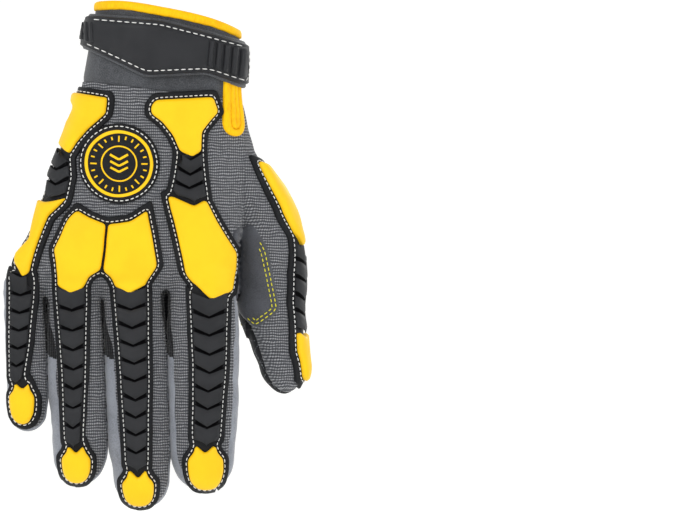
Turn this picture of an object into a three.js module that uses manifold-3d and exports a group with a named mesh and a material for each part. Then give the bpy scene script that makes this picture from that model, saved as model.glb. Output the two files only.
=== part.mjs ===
// A padded work glove for the right hand, shown as it sits on a hand, with the fingers hanging down.
// Units are millimetres and +Z is up. The back of the hand faces -Y, the palm faces +Y and the thumb is on +X.
// The origin is the middle of the cuff's opening, where the hand goes in.
import * as THREE from 'three';
import { mergeVertices } from 'three/addons/utils/BufferGeometryUtils.js';
import Module from 'manifold-3d';

const wasm = await Module();
wasm.setup();

// Driving sizes of the hand and cuff
const palmWidth = 113;
const wristWidth = 71;
const handLength = 136.5;
const palmDepth = 36;
const wristDepth = 50;
const handOffset = 6;
const webDrop = 5;
const cuffHeight = 42;
const cuffTilt = 0.19;
const cuffEdgeRound = 3.5;
const cuffSeamTilt = 0.12;

// Driving sizes of the digits, each from the crotch line to its tip
const pinkyLength = 75.5;
const ringLength = 102;
const middleLength = 114;
const indexLength = 105.5;
const thumbLength = 145;
const thumbWidth = 30;
const thumbForward = 24;
const fingerCurl = 13;

// Walls, clearances and the heights of what is sewn on
const clothWall = 2;
const seamGap = 0.35;
const guardBaseThickness = 1.4;
const guardBorder = 2.6;
const padThickness = 2.6;
const stripThickness = 1.7;
const grooveDepth = 1;
const chevronPitch = 9.2;
const chevronGap = 1;
const chevronDrop = 0.45;
const palmPadThickness = 1.6;
const patchThickness = 0.8;
const bindingHeight = 3.6;
const bindingThickness = 0.9;
const strapTapeThickness = 1.2;
const strapCoverThickness = 2.2;
const strapRibHeight = 1.1;
const strapRibInset = 4;
const strapRibPitch = 4;
const strapRibWidth = 2;
const strapGroovePitch = 2.2;
const strapGrooveWidth = 1;
const strapCoverInset = 0.6;
const badgeRadius = 20;
const badgeThickness = 1.6;
const badgeClearance = 1;
const badgeRingRadius = 17;
const badgeRingWidth = 1.4;
const badgeRingHeight = 0.7;
const slitLength = 25;
const slitWidth = 1.6;
const slitBindingWidth = 4.6;
const snapRadius = 5.6;
const snapHeight = 1.6;
const snapHole = 3.4;
const snapStudRadius = 3;
const snapStudHeight = 1.6;
const snapLean = 0.12;
const snapSeat = 0.3;

// The hand from the cuff's edge to the crotch line. at is a share of handLength, spread runs from
// wristWidth at 0 to palmWidth at 1, thin runs from wristDepth at 0 to palmDepth at 1, shift is a share
// of palmWidth towards the thumb from the hand's middle line, and lift a share of palmDepth towards the
// palm. The cuff's middle lies handOffset to the thumb's side of that line.
const handRows = [
  { at: -0.1, spread: 0, thin: 0, shift: 0.053, lift: 0 },
  { at: 0, spread: 0, thin: 0, shift: 0.053, lift: 0 },
  { at: 0.161, spread: 0.119, thin: 0, shift: 0.04, lift: 0 },
  { at: 0.3, spread: 0.202, thin: 0.05, shift: 0.024, lift: 0.02 },
  { at: 0.447, spread: 0.38, thin: 0.18, shift: 0.015, lift: 0.05 },
  { at: 0.571, spread: 0.56, thin: 0.34, shift: -0.012, lift: 0.07 },
  { at: 0.703, spread: 0.69, thin: 0.56, shift: -0.045, lift: 0.06 },
  { at: 0.85, spread: 0.8, thin: 0.8, shift: -0.088, lift: 0.04 },
  { at: 0.938, spread: 0.905, thin: 0.95, shift: -0.124, lift: 0.03 },
  { at: 1.033, spread: 1, thin: 1.05, shift: -0.15, lift: 0.03 },
];
// How far the hand's rounded end, between the fingers, reaches up from the crotch line, as a share of palmDepth
const handEndRound = 0.5;

// The four fingers. root and tip are the centre line's places from the hand's middle line, and width the
// finger's width, as shares of palmWidth; flat is its depth as a share of its width. Above the crotch line
// the root slants towards the hand's middle by slant for each millimetre.
const fingers = [
  { name: 'pinky', length: pinkyLength, root: -0.578, tip: -0.563, width: 0.186, flat: 0.98, slant: 0.6 },
  { name: 'ring', length: ringLength, root: -0.3585, tip: -0.332, width: 0.253, flat: 0.87, slant: 0.2 },
  { name: 'middle', length: middleLength, root: -0.102, tip: -0.055, width: 0.275, flat: 0.84, slant: 0 },
  { name: 'index', length: indexLength, root: 0.207, tip: 0.214, width: 0.3, flat: 0.8, slant: -0.2 },
];
// How much a finger narrows towards its tip, and how far its root reaches up into the hand
const fingerTaper = 0.12;
const fingerRootReach = 0.18;

// The thumb from its root inside the hand. at is a share of thumbLength, out a share of palmWidth,
// half and deep are shares of thumbWidth, and forward a share of thumbForward.
const thumbRoot = 0.352;
const thumbRows = [
  { at: 0, out: 0.292, half: 0.367, deep: 0.5, forward: 0.2 },
  { at: 0.159, out: 0.327, half: 0.433, deep: 0.54, forward: 0.3 },
  { at: 0.331, out: 0.44, half: 0.483, deep: 0.54, forward: 0.5 },
  { at: 0.428, out: 0.486, half: 0.483, deep: 0.53, forward: 0.65 },
  { at: 0.572, out: 0.516, half: 0.5, deep: 0.5, forward: 0.8 },
  { at: 0.703, out: 0.524, half: 0.49, deep: 0.48, forward: 0.92 },
  { at: 0.797, out: 0.545, half: 0.433, deep: 0.46, forward: 0.98 },
  { at: 0.883, out: 0.57, half: 0.38, deep: 0.42, forward: 1 },
  { at: 1, out: 0.592, half: 0.32, deep: 0.36, forward: 1 },
];

// Where the panels meet. The hand's side seam and the fingers' two seams are shares of palmDepth from the
// centre line; the thumb is cut off across the glove at a share of palmWidth.
const handSeam = 0.2;
const guardHandSeam = -0.08;
const fingerBackSeam = -0.12;
const fingerPalmSeam = 0.14;
const sideWallTop = 0.86;
// The knit on the back is cut across at this share of handLength, under the knuckle pads.
const knuckleSeam = 0.87;
const thumbCut = 0.345;
const thumbLeatherTurn = 215;
const thumbLeatherSeam = 0.06;

// Directions, in degrees round +Z from the back of the hand, that the thumb's guard and the cuff's slit face
const thumbGuardTurn = 66;
const slitTurn = 70;

// Ring counts of the faceted surfaces
const handSides = 16;
const digitSides = 8;
const handSteps = 6;
const digitSteps = 3;
const seamSteps = 2;
const capSteps = 2;
const badgeSides = 16;
const snapSides = 12;

const knitGrey = new THREE.MeshStandardMaterial({ color: 0x5a5d60, roughness: 0.9, metalness: 0 });
const sideGrey = new THREE.MeshStandardMaterial({ color: 0x8b8f96, roughness: 0.85, metalness: 0 });
const palmBlack = new THREE.MeshStandardMaterial({ color: 0x1d1d21, roughness: 0.7, metalness: 0 });
const neopreneGrey = new THREE.MeshStandardMaterial({ color: 0x55595e, roughness: 0.9, metalness: 0 });
const rubberBlack = new THREE.MeshStandardMaterial({ color: 0x2c2d30, roughness: 0.55, metalness: 0 });
const rubberYellow = new THREE.MeshStandardMaterial({ color: 0xfcc41c, roughness: 0.5, metalness: 0 });
const tapeYellow = new THREE.MeshStandardMaterial({ color: 0xf9c010, roughness: 0.8, metalness: 0 });
const snapBlack = new THREE.MeshStandardMaterial({ color: 0x151517, roughness: 0.3, metalness: 0.6 });

// Value of one column of a table at a place along it, on a smooth curve through the rows
function columnAt(rows, column, at) {
  let i = 0;
  while (i < rows.length - 2 && at > rows[i + 1].at) i += 1;
  const before = rows[Math.max(i - 1, 0)];
  const from = rows[i];
  const to = rows[i + 1];
  const after = rows[Math.min(i + 2, rows.length - 1)];
  const span = to.at - from.at;
  const t = Math.min(Math.max((at - from.at) / span, 0), 1);
  const slopeFrom = ((to[column] - before[column]) / (to.at - before.at)) * span;
  const slopeTo = ((after[column] - from[column]) / (after.at - from.at)) * span;
  const t2 = t * t;
  const t3 = t2 * t;
  return (2 * t3 - 3 * t2 + 1) * from[column] + (t3 - 2 * t2 + t) * slopeFrom
    + (3 * t2 - 2 * t3) * to[column] + (t3 - t2) * slopeTo;
}

// Share of full size that a rounded end keeps at a height above its tip
function roundedEnd(aboveTip, radius) {
  const t = Math.min(Math.max(1 - aboveTip / radius, 0), 1);
  return Math.sqrt(1 - t * t);
}

// Depth of the fingers' centre line: they curl towards the palm below the crotch line
function curlAt(z) {
  const below = Math.max(-z - handLength, 0) / middleLength;
  return columnAt(handRows, 'lift', 1) * palmDepth + fingerCurl * below * below;
}

// Each limb gives its section at a height: centre x and y, half width a and half depth b. proud moves its
// surface out by that much, or in where it is negative.
function handLimb(proud) {
  const bottom = -handLength - webDrop - proud;
  const endHeight = palmDepth * handEndRound + proud;
  const heights = [];
  for (let i = 0; i <= handSteps; i += 1) {
    heights.push(THREE.MathUtils.lerp(handLength * -handRows[0].at, bottom + endHeight, i / handSteps));
  }
  for (let i = 1; i <= capSteps; i += 1) {
    heights.push(bottom + endHeight * (1 - Math.sin((i / capSteps) * Math.PI / 2)));
  }
  return {
    heights,
    sides: handSides,
    power: 2.6,
    section(z) {
      const at = -z / handLength;
      const end = roundedEnd(z - bottom, endHeight);
      const width = wristWidth + (palmWidth - wristWidth) * columnAt(handRows, 'spread', at);
      const depth = wristDepth + (palmDepth - wristDepth) * columnAt(handRows, 'thin', at);
      const half = width / 2 + proud;
      return {
        x: columnAt(handRows, 'shift', at) * palmWidth - handOffset,
        y: columnAt(handRows, 'lift', at) * palmDepth,
        a: half - endHeight * (1 - end),
        b: (depth / 2 + proud) * end,
      };
    },
  };
}

function fingerLimb(finger, proud) {
  const tip = -handLength - finger.length - proud;
  const top = -handLength + handLength * fingerRootReach;
  const half = (finger.width * palmWidth) / 2;
  const capHeight = half * 0.95 + proud;
  const heights = [];
  for (let i = 0; i <= digitSteps; i += 1) {
    heights.push(THREE.MathUtils.lerp(top, tip + capHeight, i / digitSteps));
  }
  for (let i = 1; i <= capSteps; i += 1) {
    heights.push(tip + capHeight * (1 - Math.sin((i / capSteps) * Math.PI / 2)));
  }
  return {
    heights,
    sides: digitSides,
    power: 2.2,
    section(z) {
      const t = (-z - handLength) / finger.length;
      const along = Math.min(Math.max(t, 0), 1);
      const end = roundedEnd(z - tip, capHeight);
      const taper = 1 - fingerTaper * along * along;
      return {
        x: THREE.MathUtils.lerp(finger.root, finger.tip, along) * palmWidth - handOffset
          + finger.slant * Math.max(-t, 0) * finger.length,
        y: curlAt(z),
        a: (half * taper + proud) * end,
        b: (half * finger.flat * taper + proud) * end,
      };
    },
  };
}

function thumbLimb(proud) {
  const top = -handLength * thumbRoot;
  const tip = top - thumbLength - proud;
  const capHeight = thumbWidth * 0.42 + proud;
  const heights = [];
  const steps = digitSteps + 1;
  for (let i = 0; i <= steps; i += 1) {
    heights.push(THREE.MathUtils.lerp(top, tip + capHeight, i / steps));
  }
  for (let i = 1; i <= capSteps; i += 1) {
    heights.push(tip + capHeight * (1 - Math.sin((i / capSteps) * Math.PI / 2)));
  }
  return {
    heights,
    sides: digitSides,
    power: 2.2,
    section(z) {
      const at = Math.min((top - z) / thumbLength, 1);
      const end = roundedEnd(z - tip, capHeight);
      return {
        x: columnAt(thumbRows, 'out', at) * palmWidth - handOffset,
        y: columnAt(thumbRows, 'forward', at) * thumbForward,
        a: (columnAt(thumbRows, 'half', at) * thumbWidth + proud) * end,
        b: (columnAt(thumbRows, 'deep', at) * thumbWidth + proud) * end,
      };
    },
  };
}

// One horizontal ring of points round a section, as a rounded square or ellipse
function ringPoints(section, z, sides, power) {
  const points = [];
  for (let i = 0; i < sides; i += 1) {
    const angle = (i / sides) * 2 * Math.PI;
    const c = Math.cos(angle);
    const s = Math.sin(angle);
    points.push([
      section.x + section.a * Math.sign(c) * Math.abs(c) ** (2 / power),
      section.y + section.b * Math.sign(s) * Math.abs(s) ** (2 / power),
      z,
    ]);
  }
  return points;
}

// A closed geometry through rings of equal count, from the top one down, with flat or pointed ends
function loftGeometry(rings) {
  const positions = [];
  const triangle = (p, q, r) => positions.push(...p, ...q, ...r);
  const middle = (ring) => [0, 1, 2].map((k) => ring.reduce((sum, p) => sum + p[k], 0) / ring.length);
  const sides = rings[0].length;
  for (let j = 0; j < rings.length - 1; j += 1) {
    for (let i = 0; i < sides; i += 1) {
      const n = (i + 1) % sides;
      triangle(rings[j][i], rings[j + 1][i], rings[j + 1][n]);
      triangle(rings[j][i], rings[j + 1][n], rings[j][n]);
    }
  }
  const top = middle(rings[0]);
  const bottom = middle(rings[rings.length - 1]);
  for (let i = 0; i < sides; i += 1) {
    const n = (i + 1) % sides;
    triangle(top, rings[0][i], rings[0][n]);
    triangle(bottom, rings[rings.length - 1][n], rings[rings.length - 1][i]);
  }
  return new THREE.BufferGeometry().setAttribute('position', new THREE.Float32BufferAttribute(positions, 3));
}

// A closed three.js geometry as a solid that can be joined and cut
function solidOf(geometry) {
  const bare = geometry.clone();
  for (const name of Object.keys(bare.attributes)) {
    if (name !== 'position') bare.deleteAttribute(name);
  }
  const merged = mergeVertices(bare, 1e-4);
  const keep = [];
  for (let i = 0; i < merged.index.count; i += 3) {
    const [a, b, c] = [0, 1, 2].map((k) => merged.index.getX(i + k));
    if (a !== b && b !== c && c !== a) keep.push(a, b, c);
  }
  return new wasm.Manifold(new wasm.Mesh({
    numProp: 3,
    vertProperties: merged.attributes.position.array,
    triVerts: new Uint32Array(keep),
  }));
}

function geometryOf(solid) {
  const mesh = solid.getMesh();
  const positions = new Float32Array(mesh.numVert * 3);
  for (let i = 0; i < mesh.numVert; i += 1) {
    for (let k = 0; k < 3; k += 1) positions[3 * i + k] = mesh.vertProperties[i * mesh.numProp + k];
  }
  const geometry = new THREE.BufferGeometry()
    .setAttribute('position', new THREE.BufferAttribute(positions, 3))
    .setIndex(new THREE.BufferAttribute(new Uint32Array(mesh.triVerts), 1));
  geometry.computeVertexNormals();
  return geometry;
}

// What a cut leaves of a piece, without the slivers that it can leave across the glove's edge
const mainBody = (solid) => solid.decompose().sort((a, b) => b.volume() - a.volume())[0];

function limbSolid(limb) {
  return solidOf(loftGeometry(limb.heights.map((z) => ringPoints(limb.section(z), z, limb.sides, limb.power))));
}

const joined = (solids) => solids.reduce((a, b) => a.add(b));

// The whole glove's form, with its surface moved out by proud
const forms = new Map();
function gloveForm(proud) {
  const key = proud.toFixed(3);
  if (!forms.has(key)) {
    forms.set(key, joined([
      limbSolid(handLimb(proud)),
      ...fingers.map((finger) => limbSolid(fingerLimb(finger, proud))),
      limbSolid(thumbLimb(proud)),
    ]));
  }
  return forms.get(key);
}

// The layer between two distances from the glove's surface
const layer = (from, to) => gloveForm(to).subtract(gloveForm(from));

// A box by its low and high corners
function boxSolid(low, high) {
  const size = high.map((v, i) => v - low[i]);
  const geometry = new THREE.BoxGeometry(...size);
  geometry.translate(...low.map((v, i) => v + size[i] / 2));
  return solidOf(geometry);
}

// An outline of [across, up] points, extruded towards the glove from where a viewer stands who has gone
// round by turn degrees from the back of the hand. It reaches from far outside to depthLimit past the
// vertical axis through the point pivot.
const viewReach = 90;
const farOut = 2 * viewReach;
function prismFrom(points, turn = 0, depthLimit = 0, pivot = [0, 0]) {
  const shape = new THREE.Shape(points.map(([across, up]) => new THREE.Vector2(across, up)));
  const geometry = new THREE.ExtrudeGeometry(shape, { depth: viewReach + depthLimit, bevelEnabled: false });
  geometry.translate(0, 0, -depthLimit);
  geometry.rotateX(Math.PI / 2);
  geometry.rotateZ(THREE.MathUtils.degToRad(turn));
  geometry.translate(pivot[0], pivot[1], 0);
  return solidOf(geometry);
}

// An outline moved outwards by distance, corner by corner
function grown(points, distance) {
  const area = points.reduce((sum, p, i) => {
    const q = points[(i + 1) % points.length];
    return sum + p[0] * q[1] - q[0] * p[1];
  }, 0);
  const side = area > 0 ? 1 : -1;
  const normal = (p, q) => {
    const length = Math.hypot(q[0] - p[0], q[1] - p[1]);
    return [(side * (q[1] - p[1])) / length, (-side * (q[0] - p[0])) / length];
  };
  return points.map((p, i) => {
    const before = normal(points[(i + points.length - 1) % points.length], p);
    const after = normal(p, points[(i + 1) % points.length]);
    const scale = distance / Math.max(1 + before[0] * after[0] + before[1] * after[1], 0.6);
    return [p[0] + (before[0] + after[0]) * scale, p[1] + (before[1] + after[1]) * scale];
  });
}

// Outlines on the hand, as [across, down]: shares of palmWidth from the hand's middle line towards the
// thumb, and of handLength down from the cuff's edge.
const onHand = (rows) => rows.map(([across, down]) => [across * palmWidth - handOffset, -down * handLength]);

const handPads = {
  pinky_wrist: onHand([
    [-0.354, 0.311], [-0.199, 0.33], [-0.208, 0.388], [-0.288, 0.451], [-0.332, 0.495], [-0.372, 0.546],
    [-0.412, 0.516], [-0.385, 0.45], [-0.345, 0.366], [-0.363, 0.337],
  ]),
  pinky_knuckle: onHand([
    [-0.5, 0.707], [-0.478, 0.72], [-0.38, 0.7], [-0.46, 0.766], [-0.504, 0.857], [-0.549, 0.967],
    [-0.588, 0.989], [-0.619, 0.938], [-0.61, 0.908], [-0.549, 0.85], [-0.513, 0.744],
  ]),
  ring_knuckle: onHand([
    [-0.336, 0.74], [-0.288, 0.766], [-0.212, 0.791], [-0.221, 0.879], [-0.235, 0.952], [-0.288, 0.974],
    [-0.323, 1.029], [-0.372, 1.048], [-0.42, 1.015], [-0.429, 0.938], [-0.438, 0.886], [-0.407, 0.835],
    [-0.372, 0.773],
  ]),
  middle_knuckle: onHand([
    [-0.208, 0.791], [-0.106, 0.78], [-0.031, 0.74], [-0.013, 0.813], [0.013, 0.938], [-0.035, 0.993],
    [-0.044, 1.011], [-0.111, 1.048], [-0.164, 1.022], [-0.195, 0.974], [-0.231, 0.955], [-0.217, 0.879],
  ]),
  index_wrist: onHand([
    [-0.013, 0.359], [0.009, 0.337], [0.252, 0.326], [0.274, 0.381], [0.208, 0.451], [0.204, 0.524],
    [0.164, 0.546], [0.111, 0.524], [0.08, 0.465], [0.035, 0.418], [-0.013, 0.388],
  ]),
  index_knuckle: onHand([
    [0.058, 0.692], [0.08, 0.689], [0.173, 0.723], [0.221, 0.7], [0.27, 0.78], [0.345, 0.894],
    [0.327, 1.037], [0.248, 1.07], [0.173, 1.007], [0.133, 0.96], [0.102, 0.842], [0.071, 0.736],
  ]),
};

// Grooved rubber between the wrist pads and the knuckle pads, with the number of chevrons on it
const handStrips = {
  pinky_wrist: { chevrons: 3, outline: onHand([
    [-0.416, 0.528], [-0.374, 0.556], [-0.366, 0.62], [-0.384, 0.69], [-0.478, 0.708], [-0.462, 0.6],
  ]) },
  index_wrist: { chevrons: 3, outline: onHand([
    [0.11, 0.535], [0.164, 0.556], [0.206, 0.534], [0.21, 0.6], [0.223, 0.69], [0.173, 0.712],
    [0.08, 0.678], [0.1, 0.6],
  ]) },
};

// Outlines that follow a finger, as [side, along]: shares of the finger's half width from its centre line,
// and of its length from the crotch line.
function onFinger(finger, rows, proud = 0) {
  const limb = fingerLimb(finger, proud);
  const half = (finger.width * palmWidth) / 2;
  return rows.map(([side, along]) => {
    const z = -handLength - along * finger.length;
    return [limb.section(z).x + side * half, z];
  });
}

// The rubber on each finger. The strip starts below millimetres under the tip of the knuckle pad above it, and
// left and right are how far it reaches to either side of the finger's centre line. narrow is how much it
// loses on each side, and lean how far its end moves sideways. The tip cap has its own place and reach.
const fingerGuards = {
  pinky: {
    left: -0.9, right: -0.15, below: 1.5015, narrow: 0.08, lean: 0, capAt: 0.69, capLeft: -0.92, capRight: 0.32,
  },
  ring: {
    left: -0.74, right: 0.25, below: 1.098, narrow: 0.14, lean: -0.03, capAt: 0.815, capLeft: -0.69, capRight: 0.47,
  },
  middle: {
    left: -0.66, right: 0.35, below: 1.428, narrow: 0.16, lean: 0.02, capAt: 0.835, capLeft: -0.66, capRight: 0.56,
  },
  index: {
    left: -0.3, right: 0.83, below: 0.995, narrow: 0.24, lean: -0.14, capAt: 0.79, capLeft: -0.3, capRight: 0.77,
  },
};

// Where a finger's strip starts, as a share of the finger's length from the crotch line
function stripStart(finger) {
  const padTip = Math.min(...handPads[`${finger.name}_knuckle`].map((point) => point[1]));
  return (-handLength - padTip + fingerGuards[finger.name].below) / finger.length;
}

function stripOutline(finger, guard) {
  const { narrow } = guard;
  const start = stripStart(finger);
  const point = chevronDrop * (guard.right - guard.left) * 0.5 * ((finger.width * palmWidth) / 2 / finger.length);
  const centre = (guard.left + guard.right) / 2 + guard.lean;
  const end = guard.capAt - 0.012;
  return onFinger(finger, [
    [guard.left, start], [(guard.left + guard.right) / 2, start + point], [guard.right, start],
    [guard.right - narrow / 2, 0.4], [guard.right - narrow + guard.lean, end - point],
    [centre, end], [guard.left + narrow + guard.lean, end - point], [guard.left + narrow / 2, 0.4],
  ]);
}

function capOutline(finger, guard) {
  const centre = (guard.capLeft + guard.capRight) / 2 + guard.lean;
  const wide = (guard.capRight - guard.capLeft) / 2;
  const notch = 0.02;
  const span = 0.985 - guard.capAt;
  const rows = [
    [-0.55, -notch], [0, notch], [0.55, -notch], [0.7, 0.12], [1, 0.3], [0.95, 0.6], [0.6, 0.88],
    [0, 1], [-0.6, 0.88], [-0.95, 0.6], [-1, 0.3], [-0.7, 0.12],
  ];
  return onFinger(finger, rows.map(([side, along]) => [
    centre + side * wide,
    guard.capAt + (along < 0.1 ? along : along * span),
  ]));
}

// V-shaped grooves across a strip, evenly spaced, with their points down
function chevronGrooves(outline, cut, top, bottom, count) {
  const xs = outline.map((p) => p[0]);
  const [low, high] = [Math.min(...xs), Math.max(...xs)];
  const centreAt = (z) => {
    const crossings = [];
    outline.forEach((p, i) => {
      const q = outline[(i + 1) % outline.length];
      if ((p[1] - z) * (q[1] - z) < 0) crossings.push(p[0] + ((q[0] - p[0]) * (z - p[1])) / (q[1] - p[1]));
    });
    return crossings.length ? (Math.min(...crossings) + Math.max(...crossings)) / 2 : (low + high) / 2;
  };
  const reach = high - low;
  const pitch = (top - bottom) / (count + 1);
  const grooves = [];
  for (let i = 1; i <= count; i += 1) {
    const z = top - pitch * i;
    const x = centreAt(z);
    const rise = reach * chevronDrop;
    grooves.push(cut([
      [x - reach, z + rise], [x, z], [x + reach, z + rise],
      [x + reach, z + rise + chevronGap], [x, z + chevronGap], [x - reach, z + rise + chevronGap],
    ]));
  }
  return joined(grooves);
}

// Heights of each sewn-on layer above the cloth
const baseTop = seamGap + guardBaseThickness;
const padBottom = baseTop + seamGap;
const padTop = padBottom + padThickness;
const stripTop = padBottom + stripThickness;

// The badge's place on the back of the hand
const [badgeCentre] = onHand([[-0.162, 0.571]]);
function circleOutline(centre, radius, sides) {
  return Array.from({ length: sides }, (_, i) => {
    const angle = (i / sides) * 2 * Math.PI;
    return [centre[0] + radius * Math.cos(angle), centre[1] + radius * Math.sin(angle)];
  });
}
// The guards on the hand and fingers end at a curved surface just past the middle of each finger.
const guardRear = behindSeam(guardHandSeam, 0, 0);
const onBack = (outline) => prismFrom(outline, 0, viewReach).subtract(guardRear);

// The thumb's guard is seen from its own direction, and ends at the middle of the thumb.
const onThumbBack = (outline) => prismFrom(outline, thumbGuardTurn, viewReach, thumbPivot)
  .intersect(beyondThumb(thumbGuardTurn, 0));

const guardBase = (outlines, cut) => layer(seamGap, baseTop).intersect(
  joined(outlines.map((outline) => cut(grown(outline, guardBorder)))),
).subtract(prismFrom(circleOutline(badgeCentre, badgeRadius + badgeClearance, badgeSides)));
const pad = (outline, cut) => layer(padBottom, padTop).intersect(cut(grown(outline, -seamGap / 2)));

function strip(outline, count, cut) {
  const zs = outline.map((p) => p[1]);
  const body = layer(padBottom, stripTop).intersect(cut(grown(outline, -seamGap / 2)));
  const grooves = chevronGrooves(outline, cut, Math.max(...zs), Math.min(...zs), count);
  return body.subtract(grooves.subtract(gloveForm(stripTop - grooveDepth)));
}

// The thumb's guard is laid out as seen from its own direction, round the thumb's centre line.
const thumbPivotAt = 0.6;
const thumbPivot = [
  columnAt(thumbRows, 'out', thumbPivotAt) * palmWidth,
  columnAt(thumbRows, 'forward', thumbPivotAt) * thumbForward,
];
const onThumb = (rows, seenFrom = thumbGuardTurn) => rows.map(([side, along]) => {
  const z = -handLength * thumbRoot - along * thumbLength;
  const section = thumbLimb(0).section(z);
  const turn = THREE.MathUtils.degToRad(seenFrom);
  const across = (section.x - thumbPivot[0]) * Math.cos(turn) + (section.y - thumbPivot[1]) * Math.sin(turn);
  return [across + side * thumbWidth, z];
});
const thumbPadOutline = onThumb([
  [-0.36, 0.205], [-0.1, 0.215], [0.2, 0.3], [0.3, 0.4], [0.3, 0.47], [0.1, 0.495], [-0.12, 0.45],
  [-0.26, 0.38], [-0.3, 0.28],
]);
const thumbStripOutline = onThumb([
  [-0.1, 0.475], [0.1, 0.51], [0.3, 0.49], [0.36, 0.6], [0.36, 0.77], [0.18, 0.79], [-0.02, 0.77],
  [-0.06, 0.6],
]);
const thumbCapOutline = onThumb([
  [-0.02, 0.785], [0.18, 0.805], [0.36, 0.785], [0.4, 0.84], [0.34, 0.91], [0.2, 0.955], [0.04, 0.94],
  [-0.06, 0.86],
]);

// Everything beyond a surface that follows the thumb's centre line, start millimetres out from it, on the
// side that faces a direction given in degrees round +Z from the back of the hand.
function beyondThumb(turn, start) {
  const limb = thumbLimb(0);
  const angle = THREE.MathUtils.degToRad(turn);
  const outwards = [Math.sin(angle), -Math.cos(angle)];
  const sideways = [Math.cos(angle), Math.sin(angle)];
  const heights = [2 * viewReach, ...limb.heights, -4 * viewReach];
  return solidOf(loftGeometry(heights.map((z) => {
    const { x, y } = limb.section(Math.min(Math.max(z, limb.heights[limb.heights.length - 1]), limb.heights[0]));
    return [[-1, 0], [-1, 1], [1, 1], [1, 0]].map(([across, out]) => [
      x + sideways[0] * across * viewReach + outwards[0] * (start + out * viewReach),
      y + sideways[1] * across * viewReach + outwards[1] * (start + out * viewReach),
      z,
    ]);
  }), false));
}

// Everything behind a curved surface that runs across the glove and follows the fingers' curl. It lies at
// handShare of palmDepth behind the middle in the hand and at fingerShare along the fingers.
function behindSeam(handShare, fingerShare, shift) {
  const far = viewReach * 2;
  const handEnd = -handLength * sideWallTop;
  const handEdge = (columnAt(handRows, 'lift', 0.5) + handShare) * palmDepth + shift;
  const edge = [[handEdge, far], [handEdge, handEnd]];
  for (let i = 0; i <= seamSteps; i += 1) {
    const z = -handLength * 1.02 - (i / seamSteps) * middleLength * 1.1;
    edge.push([fingerShare * palmDepth + curlAt(z) + shift, z]);
  }
  const shape = new THREE.Shape([
    ...edge, [far, edge[edge.length - 1][1]], [far, far],
  ].map(([y, z]) => new THREE.Vector2(y, z)));
  const geometry = new THREE.ExtrudeGeometry(shape, { depth: 4 * viewReach, bevelEnabled: false });
  geometry.translate(0, 0, -2 * viewReach);
  geometry.rotateX(Math.PI / 2);
  geometry.rotateZ(Math.PI / 2);
  return solidOf(geometry);
}

const cloth = gloveForm(0).subtract(gloveForm(-clothWall));

// Everything below a line across the glove, given as the height at each place across
function belowLine(heightAt, places) {
  const shape = new THREE.Shape([
    ...places.map((x) => [x, heightAt(x)]), [farOut, -2 * farOut], [-farOut, -2 * farOut],
  ].map(([x, z]) => new THREE.Vector2(x, z)));
  const geometry = new THREE.ExtrudeGeometry(shape, { depth: 2 * farOut, bevelEnabled: false });
  geometry.translate(0, 0, -farOut);
  geometry.rotateX(Math.PI / 2);
  return solidOf(geometry);
}

// The cuff's edge falls towards the thumb, and rounds off at both sides
const edgePlaces = Array.from({ length: 7 }, (_, i) => ((i - 3) / 3) * wristWidth * 0.6);
const cuffEdgeAt = (x) => -cuffTilt * x - cuffEdgeRound * Math.min(Math.abs(x / (wristWidth * 0.5)), 1.3) ** 3;
const belowCuffEdge = (drop) => belowLine((x) => cuffEdgeAt(x) - drop, [-farOut, ...edgePlaces, farOut]);
const seamAt = (x) => -cuffHeight - cuffSeamTilt * x;
const belowLevel = (z) => belowLine(() => z, [-farOut, farOut]);
const belowSeam = belowLine((x) => seamAt(x) - seamGap / 2, [-farOut, farOut]);
const aboveSeam = boxSolid([-farOut, -farOut, -2 * farOut], [farOut, farOut, farOut]).subtract(
  belowLine((x) => seamAt(x) + seamGap / 2, [-farOut, farOut]),
);

// The slit at the thumb side of the cuff and its tape, as seen from the slit's own direction
const slitTop = -cuffHeight * 0.72;
const slitRound = 6;
function slitOutline(halfWidth) {
  const points = [[-halfWidth, slitTop], [halfWidth, slitTop]];
  for (let i = 1; i < slitRound; i += 1) {
    const angle = (-i / slitRound) * Math.PI;
    points.push([halfWidth * Math.cos(angle), slitTop - slitLength + halfWidth * Math.sin(angle)]);
  }
  return points;
}
const slitHole = prismFrom(slitOutline(slitWidth / 2), slitTurn, 0);
const shell = cloth.subtract(slitHole);

const thumbSide = boxSolid([thumbCut * palmWidth + seamGap / 2, -farOut, -farOut * 2], [farOut, farOut, farOut]);
const handSide = boxSolid([-farOut, -farOut, -farOut * 2], [thumbCut * palmWidth - seamGap / 2, farOut, farOut]);
const handShell = shell.intersect(belowSeam).intersect(handSide);
const thumbShell = shell.intersect(belowSeam).intersect(thumbSide);

// Raised foam under the palm leather
const palmPads = [
  onHand([[-0.525, 0.8], [-0.38, 0.785], [-0.36, 0.735], [-0.11, 0.705], [-0.075, 0.559], [-0.05, 0.37],
    [-0.24, 0.385], [-0.375, 0.44], [-0.43, 0.538], [-0.48, 0.68]]),
  onHand([[0.1, 0.93], [0.25, 0.96], [0.36, 0.84], [0.34, 0.62], [0.33, 0.5], [0.24, 0.43], [0.2, 0.53],
    [0.15, 0.667]]),
  onHand([[-0.27, 0.86], [-0.02, 0.9], [0.05, 0.87], [0.1, 0.66], [0.06, 0.6], [-0.05, 0.74], [-0.25, 0.77]]),
  onHand([[-0.02, 0.64], [0.1, 0.56], [0.19, 0.45], [0.18, 0.4], [0.02, 0.39], [-0.01, 0.5]]),
];
// The palm's outlines reach the glove from its palm side, so the outline is mirrored and turned half round.
const fromPalm = (outline, depthLimit) => prismFrom(outline.map(([x, z]) => [-x, z]), 180, depthLimit);

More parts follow.
